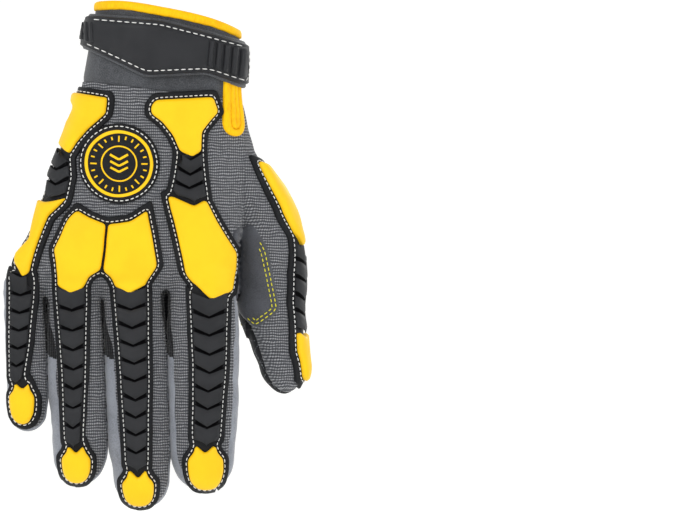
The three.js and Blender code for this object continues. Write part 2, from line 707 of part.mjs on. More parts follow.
function palmPadRelief() {
  return gloveForm(palmPadThickness).subtract(gloveForm(-clothWall / 2)).intersect(
    joined(palmPads.map((outline) => fromPalm(outline, 0))),
  ).intersect(handSide).intersect(behindSeam(handSeam, fingerPalmSeam, 3));
}

// Smooth patches on the tips of the index finger and thumb, and a plain one on the cuff's palm side
const indexFinger = fingers.find((finger) => finger.name === 'index');
const indexPatchOutline = onFinger(indexFinger, [
  [-0.72, 0.62], [0.72, 0.62], [0.72, 0.8], [0.5, 0.92], [0, 0.97], [-0.5, 0.92], [-0.72, 0.8],
]);
const thumbPatchOutline = onThumb([
  [-0.28, 0.74], [0.28, 0.74], [0.26, 0.86], [0.14, 0.93], [-0.14, 0.93], [-0.26, 0.86],
], thumbLeatherTurn);
const cuffPatchOutline = [
  [0.042, 0.16], [0.4, 0.5], [0.37, 1.22], [-0.1, 0.93],
].map(([across, down]) => [across * wristWidth, -down * cuffHeight]);

// The strap over the back of the wrist, as [across, down] shares of wristWidth and cuffHeight
const strapRows = [
  [-0.648, 0.369], [-0.606, 0.143], [-0.549, 0.071], [-0.486, 0.083], [-0.028, 0.143], [0.261, 0.274],
  [0.535, 0.417], [0.57, 0.488], [0.57, 0.631], [0.535, 0.976], [0.275, 0.798], [-0.148, 0.833],
  [-0.542, 0.5], [-0.613, 0.476],
];
const strapOutline = strapRows.map(([across, down]) => [across * wristWidth, -down * cuffHeight]);
const strapWrap = 4;
const strapTapeBottom = seamGap + bindingThickness + seamGap;
const strapTapeTop = strapTapeBottom + strapTapeThickness;
const strapCoverBottom = strapTapeTop + seamGap;
const strapCoverTop = strapCoverBottom + strapCoverThickness;

// Upright ribs near both ends of the strap: where the first one lies, as a share of wristWidth, and how many
const strapRibGroups = [
  { first: 0.29, count: 5, pitch: strapRibPitch, width: strapRibWidth },
  { first: -0.55, count: 3, pitch: strapGroovePitch, width: strapGrooveWidth },
];
const onWrist = (outline) => prismFrom(outline, 0, strapWrap);

function strapRibs() {
  const ribs = strapRibGroups.flatMap(({ first, count, pitch, width }) => Array.from({ length: count }, (_, i) => {
    const x = first * wristWidth + i * pitch;
    return onWrist([[x, 0], [x, -cuffHeight * 1.2], [x + width, -cuffHeight * 1.2], [x + width, 0]]);
  }));
  return joined(ribs).intersect(onWrist(grown(strapOutline, -strapRibInset)));
}

const strapTape = () => layer(strapTapeBottom, strapTapeTop).intersect(onWrist(strapOutline));

function strapCover() {
  const plate = layer(strapCoverBottom, strapCoverTop).intersect(onWrist(grown(strapOutline, -strapCoverInset)));
  return plate.add(layer(strapCoverTop - 0.4, strapCoverTop + strapRibHeight).intersect(strapRibs()));
}

// The tape round the cuff's edge: over the edge, outside and inside
function cuffBinding() {
  const around = gloveForm(seamGap + bindingThickness)
    .subtract(gloveForm(-clothWall - seamGap - bindingThickness));
  const room = gloveForm(seamGap).subtract(gloveForm(-clothWall - seamGap)).intersect(belowCuffEdge(bindingThickness));
  return around.intersect(belowCuffEdge(0)).subtract(belowCuffEdge(bindingHeight)).subtract(room);
}

const cuffEdgeDrop = bindingThickness + seamGap;
const cuff = shell.intersect(aboveSeam).intersect(belowCuffEdge(cuffEdgeDrop));

// The slit's tape lies along both sides of the slit and round its end
function slitBinding() {
  const outside = prismFrom(slitOutline(slitWidth / 2 + slitBindingWidth), slitTurn, 0)
    .subtract(prismFrom(slitOutline(slitWidth / 2), slitTurn, 0));
  return layer(seamGap, seamGap + bindingThickness).intersect(outside);
}

const badgeDisc = layer(seamGap, seamGap + badgeThickness).intersect(
  prismFrom(circleOutline(badgeCentre, badgeRadius, badgeSides)),
);
const badgeRing = layer(seamGap + badgeThickness + seamGap, seamGap + badgeThickness + seamGap + badgeRingHeight)
  .intersect(prismFrom(circleOutline(badgeCentre, badgeRingRadius, badgeSides))
    .subtract(prismFrom(circleOutline(badgeCentre, badgeRingRadius - badgeRingWidth, badgeSides))));

// The snap on the cuff's palm side: a flat ring with a stud in its middle, turned towards the palm
const snapPlace = [0.22 * wristWidth, -0.31 * cuffHeight];
function snapPiece(profile) {
  const section = handLimb(seamGap * 2 + patchThickness + snapSeat).section(snapPlace[1]);
  const share = Math.abs((snapPlace[0] - section.x) / section.a) ** 2.6;
  const geometry = new THREE.LatheGeometry(profile.map(([r, h]) => new THREE.Vector2(r, h)), snapSides);
  geometry.rotateZ(-snapLean);
  geometry.translate(snapPlace[0], section.y + section.b * (1 - share) ** (1 / 2.6), snapPlace[1]);
  return solidOf(geometry);
}

const glove = new THREE.Group();
function place(name, solid, material) {
  const mesh = new THREE.Mesh(geometryOf(mainBody(solid)), material);
  mesh.name = name;
  glove.add(mesh);
}

const backCloth = handShell.subtract(behindSeam(handSeam, fingerBackSeam, -seamGap / 2));
place('back_knit', backCloth.subtract(belowLevel(-handLength * knuckleSeam + seamGap / 2)), knitGrey);
place('finger_back_knit', backCloth.intersect(belowLevel(-handLength * knuckleSeam - seamGap / 2)), knitGrey);
place('finger_side_walls', handShell.intersect(behindSeam(handSeam, fingerBackSeam, seamGap / 2))
  .subtract(behindSeam(handSeam, fingerPalmSeam, -seamGap / 2)), sideGrey);
const palmCloth = handShell.intersect(behindSeam(handSeam, fingerPalmSeam, seamGap / 2));
place('palm_leather', palmCloth.add(palmPadRelief()), palmBlack);
const thumbSeamAt = thumbLeatherSeam * thumbWidth;
place('thumb_leather', thumbShell.intersect(beyondThumb(thumbLeatherTurn, thumbSeamAt + seamGap)), palmBlack);
place('thumb_knit', thumbShell.subtract(beyondThumb(thumbLeatherTurn, thumbSeamAt)), knitGrey);
place('cuff', cuff, neopreneGrey);
place('cuff_binding', cuffBinding(), tapeYellow);
place('slit_binding', slitBinding(), tapeYellow);

for (const [name, outline] of Object.entries(handPads)) place(`pad_${name}`, pad(outline, onBack), rubberYellow);
for (const [name, { outline, chevrons }] of Object.entries(handStrips)) {
  place(`strip_${name}`, strip(outline, chevrons, onBack), rubberBlack);
}
for (const finger of fingers) {
  const guard = fingerGuards[finger.name];
  const count = Math.round((finger.length * (guard.capAt - stripStart(finger))) / chevronPitch) - 1;
  place(`strip_${finger.name}`, strip(stripOutline(finger, guard), count, onBack), rubberBlack);
  place(`cap_${finger.name}`, pad(capOutline(finger, guard), onBack), rubberYellow);
}
const fingerOutlines = (name) => {
  const finger = fingers.find((one) => one.name === name);
  return [stripOutline(finger, fingerGuards[name]), capOutline(finger, fingerGuards[name])];
};
place('guard_base_pinky', guardBase([
  handPads.pinky_wrist, handStrips.pinky_wrist.outline, handPads.pinky_knuckle, ...fingerOutlines('pinky'),
], onBack), rubberBlack);
place('guard_base_ring_middle', guardBase([
  handPads.ring_knuckle, handPads.middle_knuckle, ...fingerOutlines('ring'), ...fingerOutlines('middle'),
], onBack), rubberBlack);
place('guard_base_index', guardBase([
  handPads.index_wrist, handStrips.index_wrist.outline, handPads.index_knuckle, ...fingerOutlines('index'),
], onBack), rubberBlack);
place('guard_base_thumb', guardBase(
  [thumbPadOutline, thumbStripOutline, thumbCapOutline], onThumbBack,
), rubberBlack);
place('pad_thumb', pad(thumbPadOutline, onThumbBack), rubberYellow);
place('strip_thumb', strip(thumbStripOutline, 4, onThumbBack), rubberBlack);
place('cap_thumb', pad(thumbCapOutline, onThumbBack), rubberYellow);
place('badge_disc', badgeDisc, rubberBlack);
place('badge_ring', badgeRing, rubberYellow);

place('strap_tape', strapTape(), rubberBlack);
place('strap_cover', strapCover(), rubberBlack);
place('cuff_patch', layer(seamGap, seamGap + patchThickness).intersect(
  fromPalm(cuffPatchOutline, 0),
), sideGrey);
place('snap_ring', snapPiece([
  [snapHole, 0], [snapRadius, 0], [snapRadius, snapHeight * 0.6], [snapRadius - 1, snapHeight],
  [snapHole + 0.8, snapHeight], [snapHole, snapHeight * 0.5], [snapHole, 0],
]), snapBlack);
place('snap_stud', snapPiece([
  [0, 0], [snapStudRadius, 0], [snapStudRadius, snapStudHeight * 0.6], [snapStudRadius - 0.8, snapStudHeight],
  [0, snapStudHeight],
]), snapBlack);
place('thumb_tip_patch', layer(seamGap, seamGap + patchThickness).intersect(
  prismFrom(thumbPatchOutline, thumbLeatherTurn, viewReach, thumbPivot)
    .intersect(beyondThumb(thumbLeatherTurn, thumbSeamAt + seamGap)),
), palmBlack);
place('index_tip_patch', layer(seamGap, seamGap + patchThickness).intersect(
  fromPalm(indexPatchOutline, 0).intersect(behindSeam(handSeam, fingerPalmSeam, 0)),
), palmBlack);

export default glove;
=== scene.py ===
import math
from collections import namedtuple

import bmesh
import bpy
from bpy.props import FloatProperty, PointerProperty, StringProperty
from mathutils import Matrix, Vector, noise
from mathutils.bvhtree import BVHTree
from mathutils.geometry import delaunay_2d_cdt


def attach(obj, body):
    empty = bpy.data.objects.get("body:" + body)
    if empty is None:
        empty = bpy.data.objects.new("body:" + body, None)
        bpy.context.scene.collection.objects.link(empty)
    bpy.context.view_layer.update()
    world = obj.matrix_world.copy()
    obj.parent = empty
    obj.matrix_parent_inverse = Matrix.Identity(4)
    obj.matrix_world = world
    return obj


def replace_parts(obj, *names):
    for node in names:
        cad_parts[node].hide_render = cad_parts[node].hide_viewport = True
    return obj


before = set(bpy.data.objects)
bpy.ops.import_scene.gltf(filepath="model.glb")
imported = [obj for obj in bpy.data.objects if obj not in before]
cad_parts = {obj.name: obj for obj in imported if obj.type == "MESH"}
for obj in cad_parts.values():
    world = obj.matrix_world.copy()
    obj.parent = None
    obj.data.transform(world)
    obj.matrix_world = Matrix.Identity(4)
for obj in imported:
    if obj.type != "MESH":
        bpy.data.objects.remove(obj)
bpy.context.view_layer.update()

bl_info = {
    "name": "Padded work glove",
    "version": (1, 0, 0),
    "blender": (4, 5, 0),
    "location": "3D View > Sidebar > Glove",
    "description": "Dresses the glove's solids with knit, suede, printed leather, neoprene and moulded rubber",
    "category": "Object",
}

MM = 0.001
BODY = "root"

# Sizes of the glove in millimetres, the same as the solids'
PALM_WIDTH = 113.0
WRIST_WIDTH = 71.0
HAND_LENGTH = 136.5
PALM_DEPTH = 36.0
WRIST_DEPTH = 50.0
HAND_OFFSET = 6.0
WEB_DROP = 5.0
CUFF_HEIGHT = 42.0
CUFF_TILT = 0.19
CUFF_EDGE_ROUND = 3.5
CUFF_SEAM_TILT = 0.12
HAND_END_ROUND = 0.5
MIDDLE_LENGTH = 114.0
THUMB_ROOT = 0.352
THUMB_LENGTH = 145.0
THUMB_WIDTH = 30.0
THUMB_FORWARD = 24.0
FINGER_CURL = 13.0
FINGER_TAPER = 0.12
FINGER_ROOT_REACH = 0.18
CLOTH_WALL = 2.0

# How square the sections are, 2 for an ellipse, and how long the rounded ends are, as shares
HAND_SQUARENESS = 2.6
DIGIT_SQUARENESS = 2.2
FINGER_END = 0.95
THUMB_END = 0.42
# The thumb's tip leans in by this much, in millimetres
THUMB_TIP_IN = 2.2

HandRow = namedtuple("HandRow", "at spread thin shift lift")
HAND_ROWS = [
    HandRow(-0.1, 0, 0, 0.053, 0),
    HandRow(0, 0, 0, 0.053, 0),
    HandRow(0.161, 0.119, 0, 0.04, 0),
    HandRow(0.3, 0.202, 0.05, 0.024, 0.02),
    HandRow(0.447, 0.38, 0.18, 0.015, 0.05),
    HandRow(0.571, 0.56, 0.34, -0.012, 0.07),
    HandRow(0.703, 0.69, 0.56, -0.045, 0.06),
    HandRow(0.85, 0.8, 0.8, -0.088, 0.04),
    HandRow(0.938, 0.905, 0.95, -0.124, 0.03),
    HandRow(1.033, 1, 1.05, -0.15, 0.03),
]
Finger = namedtuple("Finger", "name length root tip width flat slant")
FINGERS = {
    row.name: row for row in (
        Finger("pinky", 75.5, -0.578, -0.563, 0.186, 0.98, 0.6),
        Finger("ring", 102.0, -0.3585, -0.332, 0.253, 0.87, 0.2),
        Finger("middle", MIDDLE_LENGTH, -0.102, -0.055, 0.275, 0.84, 0.0),
        Finger("index", 105.5, 0.207, 0.214, 0.3, 0.8, -0.2),
    )
}
ThumbRow = namedtuple("ThumbRow", "at out half deep forward")
THUMB_ROWS = [
    ThumbRow(0, 0.292, 0.367, 0.5, 0.2),
    ThumbRow(0.159, 0.327, 0.433, 0.54, 0.3),
    ThumbRow(0.331, 0.44, 0.483, 0.54, 0.5),
    ThumbRow(0.428, 0.486, 0.483, 0.53, 0.65),
    ThumbRow(0.572, 0.516, 0.5, 0.5, 0.8),
    ThumbRow(0.703, 0.524, 0.49, 0.48, 0.92),
    ThumbRow(0.797, 0.545, 0.433, 0.46, 0.98),
    ThumbRow(0.883, 0.57, 0.38, 0.42, 1),
    ThumbRow(1, 0.592, 0.32, 0.36, 1),
]

# Where the panels meet, as shares of PALM_DEPTH from the centre line
HAND_SEAM = 0.2
FINGER_BACK_SEAM = -0.12
FINGER_PALM_SEAM = 0.14
SIDE_WALL_TOP = 0.86
THUMB_CUT = 0.345
THUMB_LEATHER_TURN = 215.0
THUMB_LEATHER_SEAM = 0.06
THUMB_GUARD_TURN = 66.0
SLIT_TURN = 70.0
SLIT_TOP = 0.72
SLIT_LENGTH = 25.0
SLIT_WIDTH = 1.6
# How far below the cuff's edge the neoprene ends, inside the edge tape
EDGE_TAPE_COVER = 1.9

# How far each layer stands out from the cloth
FLANGE_TOP = 1.75
PAD_BASE = 1.6
PAD_TOP = 4.7
STRIP_TOP = 3.8

# How high the stitches that lie in the leather stand
SLOT_STITCH = 0.15
# From one yellow stitch to the next, and closer round the small slots
YELLOW_STITCH_PITCH = 2.6
SLOT_STITCH_PITCH = 2.4

SectionShape = namedtuple("SectionShape", "x y a b")


class GloveSizes(bpy.types.PropertyGroup):
    """Sizes that shape the cloth and what is sewn on it"""

    skin_voxel: FloatProperty(
        name="Skin resolution", description="Edge length of the cloth's mesh", default=1.0 * MM,
        unit="LENGTH", subtype="DISTANCE")
    ripple: FloatProperty(
        name="Ripple", description="How deep the cloth's soft ripples are", default=0.45 * MM,
        unit="LENGTH", subtype="DISTANCE")
    pad_bevel: FloatProperty(
        name="Pad bevel", description="Width of the rounded edge of a rubber pad", default=1.5 * MM,
        unit="LENGTH", subtype="DISTANCE")
    chevron_pitch: FloatProperty(
        name="Chevron pitch", description="Distance from one groove to the next", default=9.2 * MM,
        unit="LENGTH", subtype="DISTANCE")
    chevron_groove: FloatProperty(
        name="Groove depth", description="Depth of the grooves in the rubber strips", default=1.9 * MM,
        unit="LENGTH", subtype="DISTANCE")
    stitch_pitch: FloatProperty(
        name="Stitch pitch", description="Distance from one stitch to the next", default=2.4 * MM,
        unit="LENGTH", subtype="DISTANCE")
    stitch_thread: FloatProperty(
        name="Thread thickness", description="Thickness of the sewing thread", default=0.55 * MM,
        unit="LENGTH", subtype="DISTANCE")
    knit_pitch: FloatProperty(
        name="Knit pitch", description="Height of one row of the knit", default=1.45 * MM,
        unit="LENGTH", subtype="DISTANCE")


class GloveColours(bpy.types.PropertyGroup):
    """Colours as sRGB hex values"""

    pad_yellow: StringProperty(name="Pads", description="Yellow rubber pads", default="#FCC80C")
    tape_yellow: StringProperty(name="Tape", description="Yellow woven tape", default="#FBC400")
    guard_black: StringProperty(name="Guards", description="Black rubber", default="#292A2D")
    flange_black: StringProperty(name="Flanges", description="Thin black rubber", default="#1B1C1F")
    # Near-black for the chevron grooves: painted shade, darker than the strips' own rubber
    groove_painted_shade: StringProperty(name="Grooves", description="Rubber in the chevrons", default="#0C0C0E")
    knit_light: StringProperty(name="Knit, raised thread", description="Light thread", default="#98999D")
    knit_dark: StringProperty(name="Knit, ground", description="Dark thread", default="#43454A")
    suede: StringProperty(name="Suede", description="Light grey suede", default="#8F939C")
    suede_dark: StringProperty(name="Thumb suede", description="Dark grey suede", default="#505258")
    neoprene: StringProperty(name="Neoprene", description="Slate cuff", default="#4A4C50")
    leather: StringProperty(name="Palm leather", description="Black palm leather", default="#17181B")
    print_silver: StringProperty(name="Palm print", description="Printed grip lines", default="#A9ADB3")
    thread_white: StringProperty(name="White thread", description="Thread of the guards", default="#ECECEA")
    thread_yellow: StringProperty(name="Yellow thread", description="Thread of the palm", default="#E8E12C")
    snap_black: StringProperty(name="Press stud", description="Lacquered metal", default="#141416")
    stage_pale: StringProperty(name="Stage", description="Floor and backdrop", default="#F8F8F7")


def sizes():
    return bpy.context.scene.glove_sizes


def colours():
    return bpy.context.scene.glove_colours


# The hand's form, worked out as in the solids


def column_at(rows, column, at):
    """Value of one column of a table at a place along it, on a smooth curve through the rows."""
    i = 0
    while i < len(rows) - 2 and at > rows[i + 1].at:
        i += 1
    before, start = rows[max(i - 1, 0)], rows[i]
    end, after = rows[i + 1], rows[min(i + 2, len(rows) - 1)]
    span = end.at - start.at
    t = min(max((at - start.at) / span, 0), 1)
    slope_start = (getattr(end, column) - getattr(before, column)) / (end.at - before.at) * span
    slope_end = (getattr(after, column) - getattr(start, column)) / (after.at - start.at) * span
    t2, t3 = t * t, t * t * t
    return ((2 * t3 - 3 * t2 + 1) * getattr(start, column) + (t3 - 2 * t2 + t) * slope_start
            + (3 * t2 - 2 * t3) * getattr(end, column) + (t3 - t2) * slope_end)


def rounded_end(above_tip, radius):
    t = min(max(1 - above_tip / radius, 0), 1)
    return math.sqrt(1 - t * t)


def curl_at(z):
    below = max(-z - HAND_LENGTH, 0) / MIDDLE_LENGTH
    return column_at(HAND_ROWS, "lift", 1) * PALM_DEPTH + FINGER_CURL * below * below


def hand_section(z, proud=0.0):
    at = -z / HAND_LENGTH
    bottom = -HAND_LENGTH - WEB_DROP - proud
    end_height = PALM_DEPTH * HAND_END_ROUND + proud
    end = rounded_end(z - bottom, end_height)
    width = WRIST_WIDTH + (PALM_WIDTH - WRIST_WIDTH) * column_at(HAND_ROWS, "spread", at)
    depth = WRIST_DEPTH + (PALM_DEPTH - WRIST_DEPTH) * column_at(HAND_ROWS, "thin", at)
    return SectionShape(
        column_at(HAND_ROWS, "shift", at) * PALM_WIDTH - HAND_OFFSET,
        column_at(HAND_ROWS, "lift", at) * PALM_DEPTH,
        width / 2 + proud - end_height * (1 - end),
        (depth / 2 + proud) * end)


def finger_section(finger, z):
    half = finger.width * PALM_WIDTH / 2
    t = (-z - HAND_LENGTH) / finger.length
    along = min(max(t, 0), 1)
    end = rounded_end(z + HAND_LENGTH + finger.length, half * FINGER_END)
    taper = 1 - FINGER_TAPER * along * along
    x = (finger.root + (finger.tip - finger.root) * along) * PALM_WIDTH - HAND_OFFSET
    x += finger.slant * max(-t, 0) * finger.length
    return SectionShape(x, curl_at(z), half * taper * end, half * finger.flat * taper * end)


def finger_half(finger, z):
    """Half of a finger's width where its end hasn't begun to round off."""
    along = min(max((-z - HAND_LENGTH) / finger.length, 0), 1)
    return finger.width * PALM_WIDTH / 2 * (1 - FINGER_TAPER * along * along)


def side_of_finger(p):
    """The finger that a place is on, and where it lies between its left side, -1, and its right side, 1."""
    name = min(FINGERS, key=lambda key: abs(p.x - finger_section(FINGERS[key], p.z).x) / FINGERS[key].width)
    finger = FINGERS[name]
    return name, (p.x - finger_section(finger, p.z).x) / finger_half(finger, p.z)


def thumb_section(z):
    top = -HAND_LENGTH * THUMB_ROOT
    at = min(max((top - z) / THUMB_LENGTH, 0), 1)
    end = rounded_end(z - top + THUMB_LENGTH, THUMB_WIDTH * THUMB_END)
    return SectionShape(
        (column_at(THUMB_ROWS, "out", at) * PALM_WIDTH - HAND_OFFSET
         - THUMB_TIP_IN * smooth_step(-115, -155, z)),
        column_at(THUMB_ROWS, "forward", at) * THUMB_FORWARD,
        column_at(THUMB_ROWS, "half", at) * THUMB_WIDTH * end,
        column_at(THUMB_ROWS, "deep", at) * THUMB_WIDTH * end)


def cuff_edge_at(x):
    return -CUFF_TILT * x - CUFF_EDGE_ROUND * min(abs(x / (WRIST_WIDTH * 0.5)), 1.3) ** 3


def cuff_seam_at(x):
    return -CUFF_HEIGHT - CUFF_SEAM_TILT * x


def seam_depth(z, finger_share):
    """Depth at which the back and palm panels end, at a height."""
    hand_end = -HAND_LENGTH * SIDE_WALL_TOP
    finger_start = -HAND_LENGTH * 1.02
    in_hand = (column_at(HAND_ROWS, "lift", 0.5) + HAND_SEAM) * PALM_DEPTH
    if z >= hand_end:
        return in_hand
    on_finger = finger_share * PALM_DEPTH + curl_at(min(z, finger_start))
    if z <= finger_start:
        return on_finger
    t = (hand_end - z) / (hand_end - finger_start)
    return in_hand + (on_finger - in_hand) * t


def smooth_step(low, high, value):
    t = min(max((value - low) / (high - low), 0), 1)
    return t * t * (3 - 2 * t)


# Mesh helpers. All lengths are in millimetres until a mesh is made.


def new_object(name, bm, material, body=BODY):
    """Makes an object from a mesh in millimetres, rides it on the body and gives it its material."""
    mesh = bpy.data.meshes.new(name)
    bmesh.ops.scale(bm, vec=(MM, MM, MM), verts=bm.verts)
    bm.to_mesh(mesh)
    bm.free()
    for polygon in mesh.polygons:
        polygon.use_smooth = True
    obj = bpy.data.objects.new(name, mesh)
    bpy.context.collection.objects.link(obj)
    mesh.materials.append(material)
    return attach(obj, body)


def add_modifier(obj, kind, **settings):
    modifier = obj.modifiers.new(kind.title(), kind)
    for key, value in settings.items():
        setattr(modifier, key, value)
    return modifier


def apply_modifiers(obj):
    depsgraph = bpy.context.evaluated_depsgraph_get()
    mesh = bpy.data.meshes.new_from_object(obj.evaluated_get(depsgraph))
    old = obj.data
    obj.modifiers.clear()
    obj.data = mesh
    bpy.data.meshes.remove(old)


def add_limb(bm, section, top, bottom, cap, power, sides=72, step=2.2):
    """Adds one closed limb, with rings from top to bottom and a finely stepped rounded end."""
    count = max(int((top - bottom - cap) / step), 2)
    heights = [top + (bottom + cap - top) * i / count for i in range(count + 1)]
    heights += [bottom + cap * (1 - math.sin(i / 8 * math.pi / 2)) for i in range(1, 8)]
    rings = []
    for z in heights:
        s = section(z)
        ring = []
        for i in range(sides):
            angle = 2 * math.pi * i / sides
            c, n = math.cos(angle), math.sin(angle)
            ring.append(bm.verts.new((
                s.x + s.a * math.copysign(abs(c) ** (2 / power), c),
                s.y + s.b * math.copysign(abs(n) ** (2 / power), n), z)))
        rings.append(ring)
    for upper, lower in zip(rings, rings[1:]):
        for i in range(sides):
            n = (i + 1) % sides
            bm.faces.new((upper[i], lower[i], lower[n], upper[n]))
    bm.faces.new(rings[0])
    end = bm.verts.new((section(bottom).x, section(bottom).y, bottom))
    for i in range(sides):
        bm.faces.new((rings[-1][(i + 1) % sides], rings[-1][i], end))


class Skin:
    """The cloth's outer surface as one smooth mesh, with ray casts and normals in millimetres."""

    def __init__(self):
        bm = bmesh.new()
        add_limb(
            bm, hand_section, 14, -HAND_LENGTH - WEB_DROP, PALM_DEPTH * HAND_END_ROUND,
            HAND_SQUARENESS, sides=120)
        for finger in FINGERS.values():
            add_limb(
                bm, lambda z, f=finger: self.apart(f, finger_section(f, z), z),
                -HAND_LENGTH * (1 - FINGER_ROOT_REACH), -HAND_LENGTH - finger.length,
                finger.width * PALM_WIDTH / 2 * FINGER_END, DIGIT_SQUARENESS)
        top = -HAND_LENGTH * THUMB_ROOT
        add_limb(bm, thumb_section, top, top - THUMB_LENGTH, THUMB_WIDTH * THUMB_END, DIGIT_SQUARENESS)
        bmesh.ops.recalc_face_normals(bm, faces=bm.faces)
        mesh = bpy.data.meshes.new("skin_form")
        bm.to_mesh(mesh)
        bm.free()
        form = bpy.data.objects.new("skin_form", mesh)
        bpy.context.collection.objects.link(form)
        add_modifier(form, "REMESH", mode="VOXEL", voxel_size=sizes().skin_voxel / MM)
        add_modifier(form, "SMOOTH", factor=0.5, iterations=7)
        apply_modifiers(form)
        self.mesh = form.data
        self.close_fingers()
        self.flatten_knuckles(form)
        self.mesh = form.data
        bpy.data.objects.remove(form)
        self.ripple()
        self.index()

    # Millimetres that each finger is moved aside, so that the cloth of two fingers isn't meshed as one
    ASIDE = {"pinky": -6, "ring": -3, "middle": 0, "index": 3}

    def aside_at(self, finger, z):
        crotch = -HAND_LENGTH - WEB_DROP
        return self.ASIDE[finger.name] * smooth_step(crotch, crotch - 9, z)

    def apart(self, finger, section, z):
        return section._replace(x=section.x + self.aside_at(finger, z))

    def close_fingers(self):
        """Moves the fingers back side by side, and swells their sides until they nearly touch."""
        row = list(FINGERS.values())
        for vertex in self.mesh.vertices:
            p = vertex.co
            if p.z > -HAND_LENGTH - WEB_DROP or p.x > THUMB_CUT * PALM_WIDTH + 2:
                continue
            nearest = min(range(4), key=lambda k: abs(
                p.x - self.apart(row[k], finger_section(row[k], p.z), p.z).x) / row[k].width)
            p.x -= self.aside_at(row[nearest], p.z)
            p.x += self.swell(row, nearest, p)
        self.mesh.update()

    @staticmethod
    def swell(row, k, p):
        """How far a point at a finger's side moves towards the next finger."""
        finger = row[k]
        centre = finger_section(finger, p.z).x
        at = (p.x - centre) / finger_half(finger, p.z)
        step = 1 if at > 0 else -1
        side = smooth_step(0.25, 0.9, abs(at))
        if k + step < 0:
            return 0.0
        if k + step > 3:
            below = smooth_step(0, -12, p.z + HAND_LENGTH + WEB_DROP)
            return 1.6 * side * below * smooth_step(-HAND_LENGTH - 90, -HAND_LENGTH - 60, p.z)
        other = row[k + step]
        between = abs(finger_section(other, p.z).x - centre)
        gap = between - finger_half(finger, p.z) - finger_half(other, p.z)
        end = -HAND_LENGTH - min(finger.length, other.length)
        fade = smooth_step(-HAND_LENGTH - 12, -HAND_LENGTH - 30, p.z) * smooth_step(end + 6, end + 26, p.z)
        return step * side * fade * min(max(gap + 0.9, 0) / 2, 2.6)

    def flatten_knuckles(self, form):
        """Evens out the crease where the fingers leave the back of the hand."""
        group = form.vertex_groups.new(name="knuckles")
        for vertex in self.mesh.vertices:
            p = vertex.co
            near = smooth_step(22, 10, abs(p.z + HAND_LENGTH)) * smooth_step(0, -5, p.y)
            if near > 0:
                group.add([vertex.index], near, "REPLACE")
        add_modifier(form, "SMOOTH", factor=0.5, iterations=60, vertex_group="knuckles")
        apply_modifiers(form)

    def ripple(self):
        depth = sizes().ripple / MM
        normals = [v.normal.copy() for v in self.mesh.vertices]
        for vertex, normal in zip(self.mesh.vertices, normals):
            p = vertex.co
            wave = noise.noise(Vector((p.x / 15, p.y / 15, p.z / 9)))
            fine = noise.noise(Vector((p.x / 7 + 9, p.y / 7, p.z / 5)))
            below = smooth_step(-30, -70, p.z)
            vertex.co = p + normal * depth * below * (wave + 0.4 * fine)
        self.mesh.update()

    def index(self):
        bm = bmesh.new()
        bm.from_mesh(self.mesh)
        bm.normal_update()
        self.tree = BVHTree.FromBMesh(bm)
        self.points = [v.co.copy() for v in bm.verts]
        self.normals = [v.normal.copy() for v in bm.verts]
        self.faces = [[v.index for v in face.verts] for face in bm.faces]
        bm.free()

    def smooth_normal(self, face, point):
        total = Vector((0, 0, 0))
        for i in self.faces[face]:
            total += self.normals[i] / ((self.points[i] - point).length + 0.05)
        return total.normalized()


class Sight:
    """Sees the skin from a direction in degrees round from the back of the hand, and puts the points of a
    flat drawing, across and up, on it."""

    def __init__(self, skin, turn=0.0, pivot=(0.0, 0.0), centre=None, only=None):
        angle = math.radians(turn)
        self.skin = skin
        self.kept = range(len(skin.faces))
        self.tree = skin.tree
        if only is not None:
            self.kept = [i for i in self.kept if only(skin.points[skin.faces[i][0]])]
            self.tree = BVHTree.FromPolygons(skin.points, [skin.faces[i] for i in self.kept])
        self.out = Vector((math.sin(angle), -math.cos(angle), 0))
        self.side = Vector((math.cos(angle), math.sin(angle), 0))
        self.pivot = Vector((pivot[0], pivot[1], 0))
        self.centre = centre

    def start(self, across, up):
        base = self.pivot + self.side * across
        base.z = up
        if self.centre is not None:
            section = self.centre(up)
            depth = (Vector((section.x, section.y, 0)) - self.pivot).dot(self.out)
            base += self.out * depth
        return base

    def touch(self, across, up):
        """Point and normal on the skin. Past the outline, it is the nearest place at the side."""
        base = self.start(across, up)
        if self.centre is not None:
            hit = self.tree.ray_cast(base, self.out, 60)
        else:
            hit = self.tree.ray_cast(base + self.out * 200, -self.out, 260)
        if hit[0] is None:
            hit = self.tree.find_nearest(base)
        return hit[0], self.skin.smooth_normal(self.kept[hit[2]], hit[0])

    def lay(self, across, up, height):
        point, normal = self.touch(across, up)
        return point + normal * height

    def carried(self, outline, other):
        """An outline drawn from here, as it looks from another sight."""
        result = []
        for across, up in evenly(outline, 1.6, True):
            point = self.touch(across, up)[0]
            result.append(((point - other.pivot).dot(other.side), point.z))
        return result


# Flat outlines


def signed_area(points):
    return sum(p[0] * q[1] - q[0] * p[1] for p, q in zip(points, points[1:] + points[:1])) / 2


def counter_clockwise(points):
    return list(points) if signed_area(list(points)) > 0 else list(reversed(points))


def grown(points, distance):
    """An outline moved outwards by distance, corner by corner."""
    points = counter_clockwise(points)
    count = len(points)
    result = []
    for i, p in enumerate(points):
        a, b = points[i - 1], points[(i + 1) % count]
        n1 = Vector((p[1] - a[1], a[0] - p[0]))
        n2 = Vector((b[1] - p[1], p[0] - b[0]))
        if n1.length < 1e-9 or n2.length < 1e-9:
            continue
        n1.normalize()
        n2.normalize()
        scale = distance / max(1 + n1.dot(n2), 0.6)
        result.append((p[0] + (n1.x + n2.x) * scale, p[1] + (n1.y + n2.y) * scale))
    return result


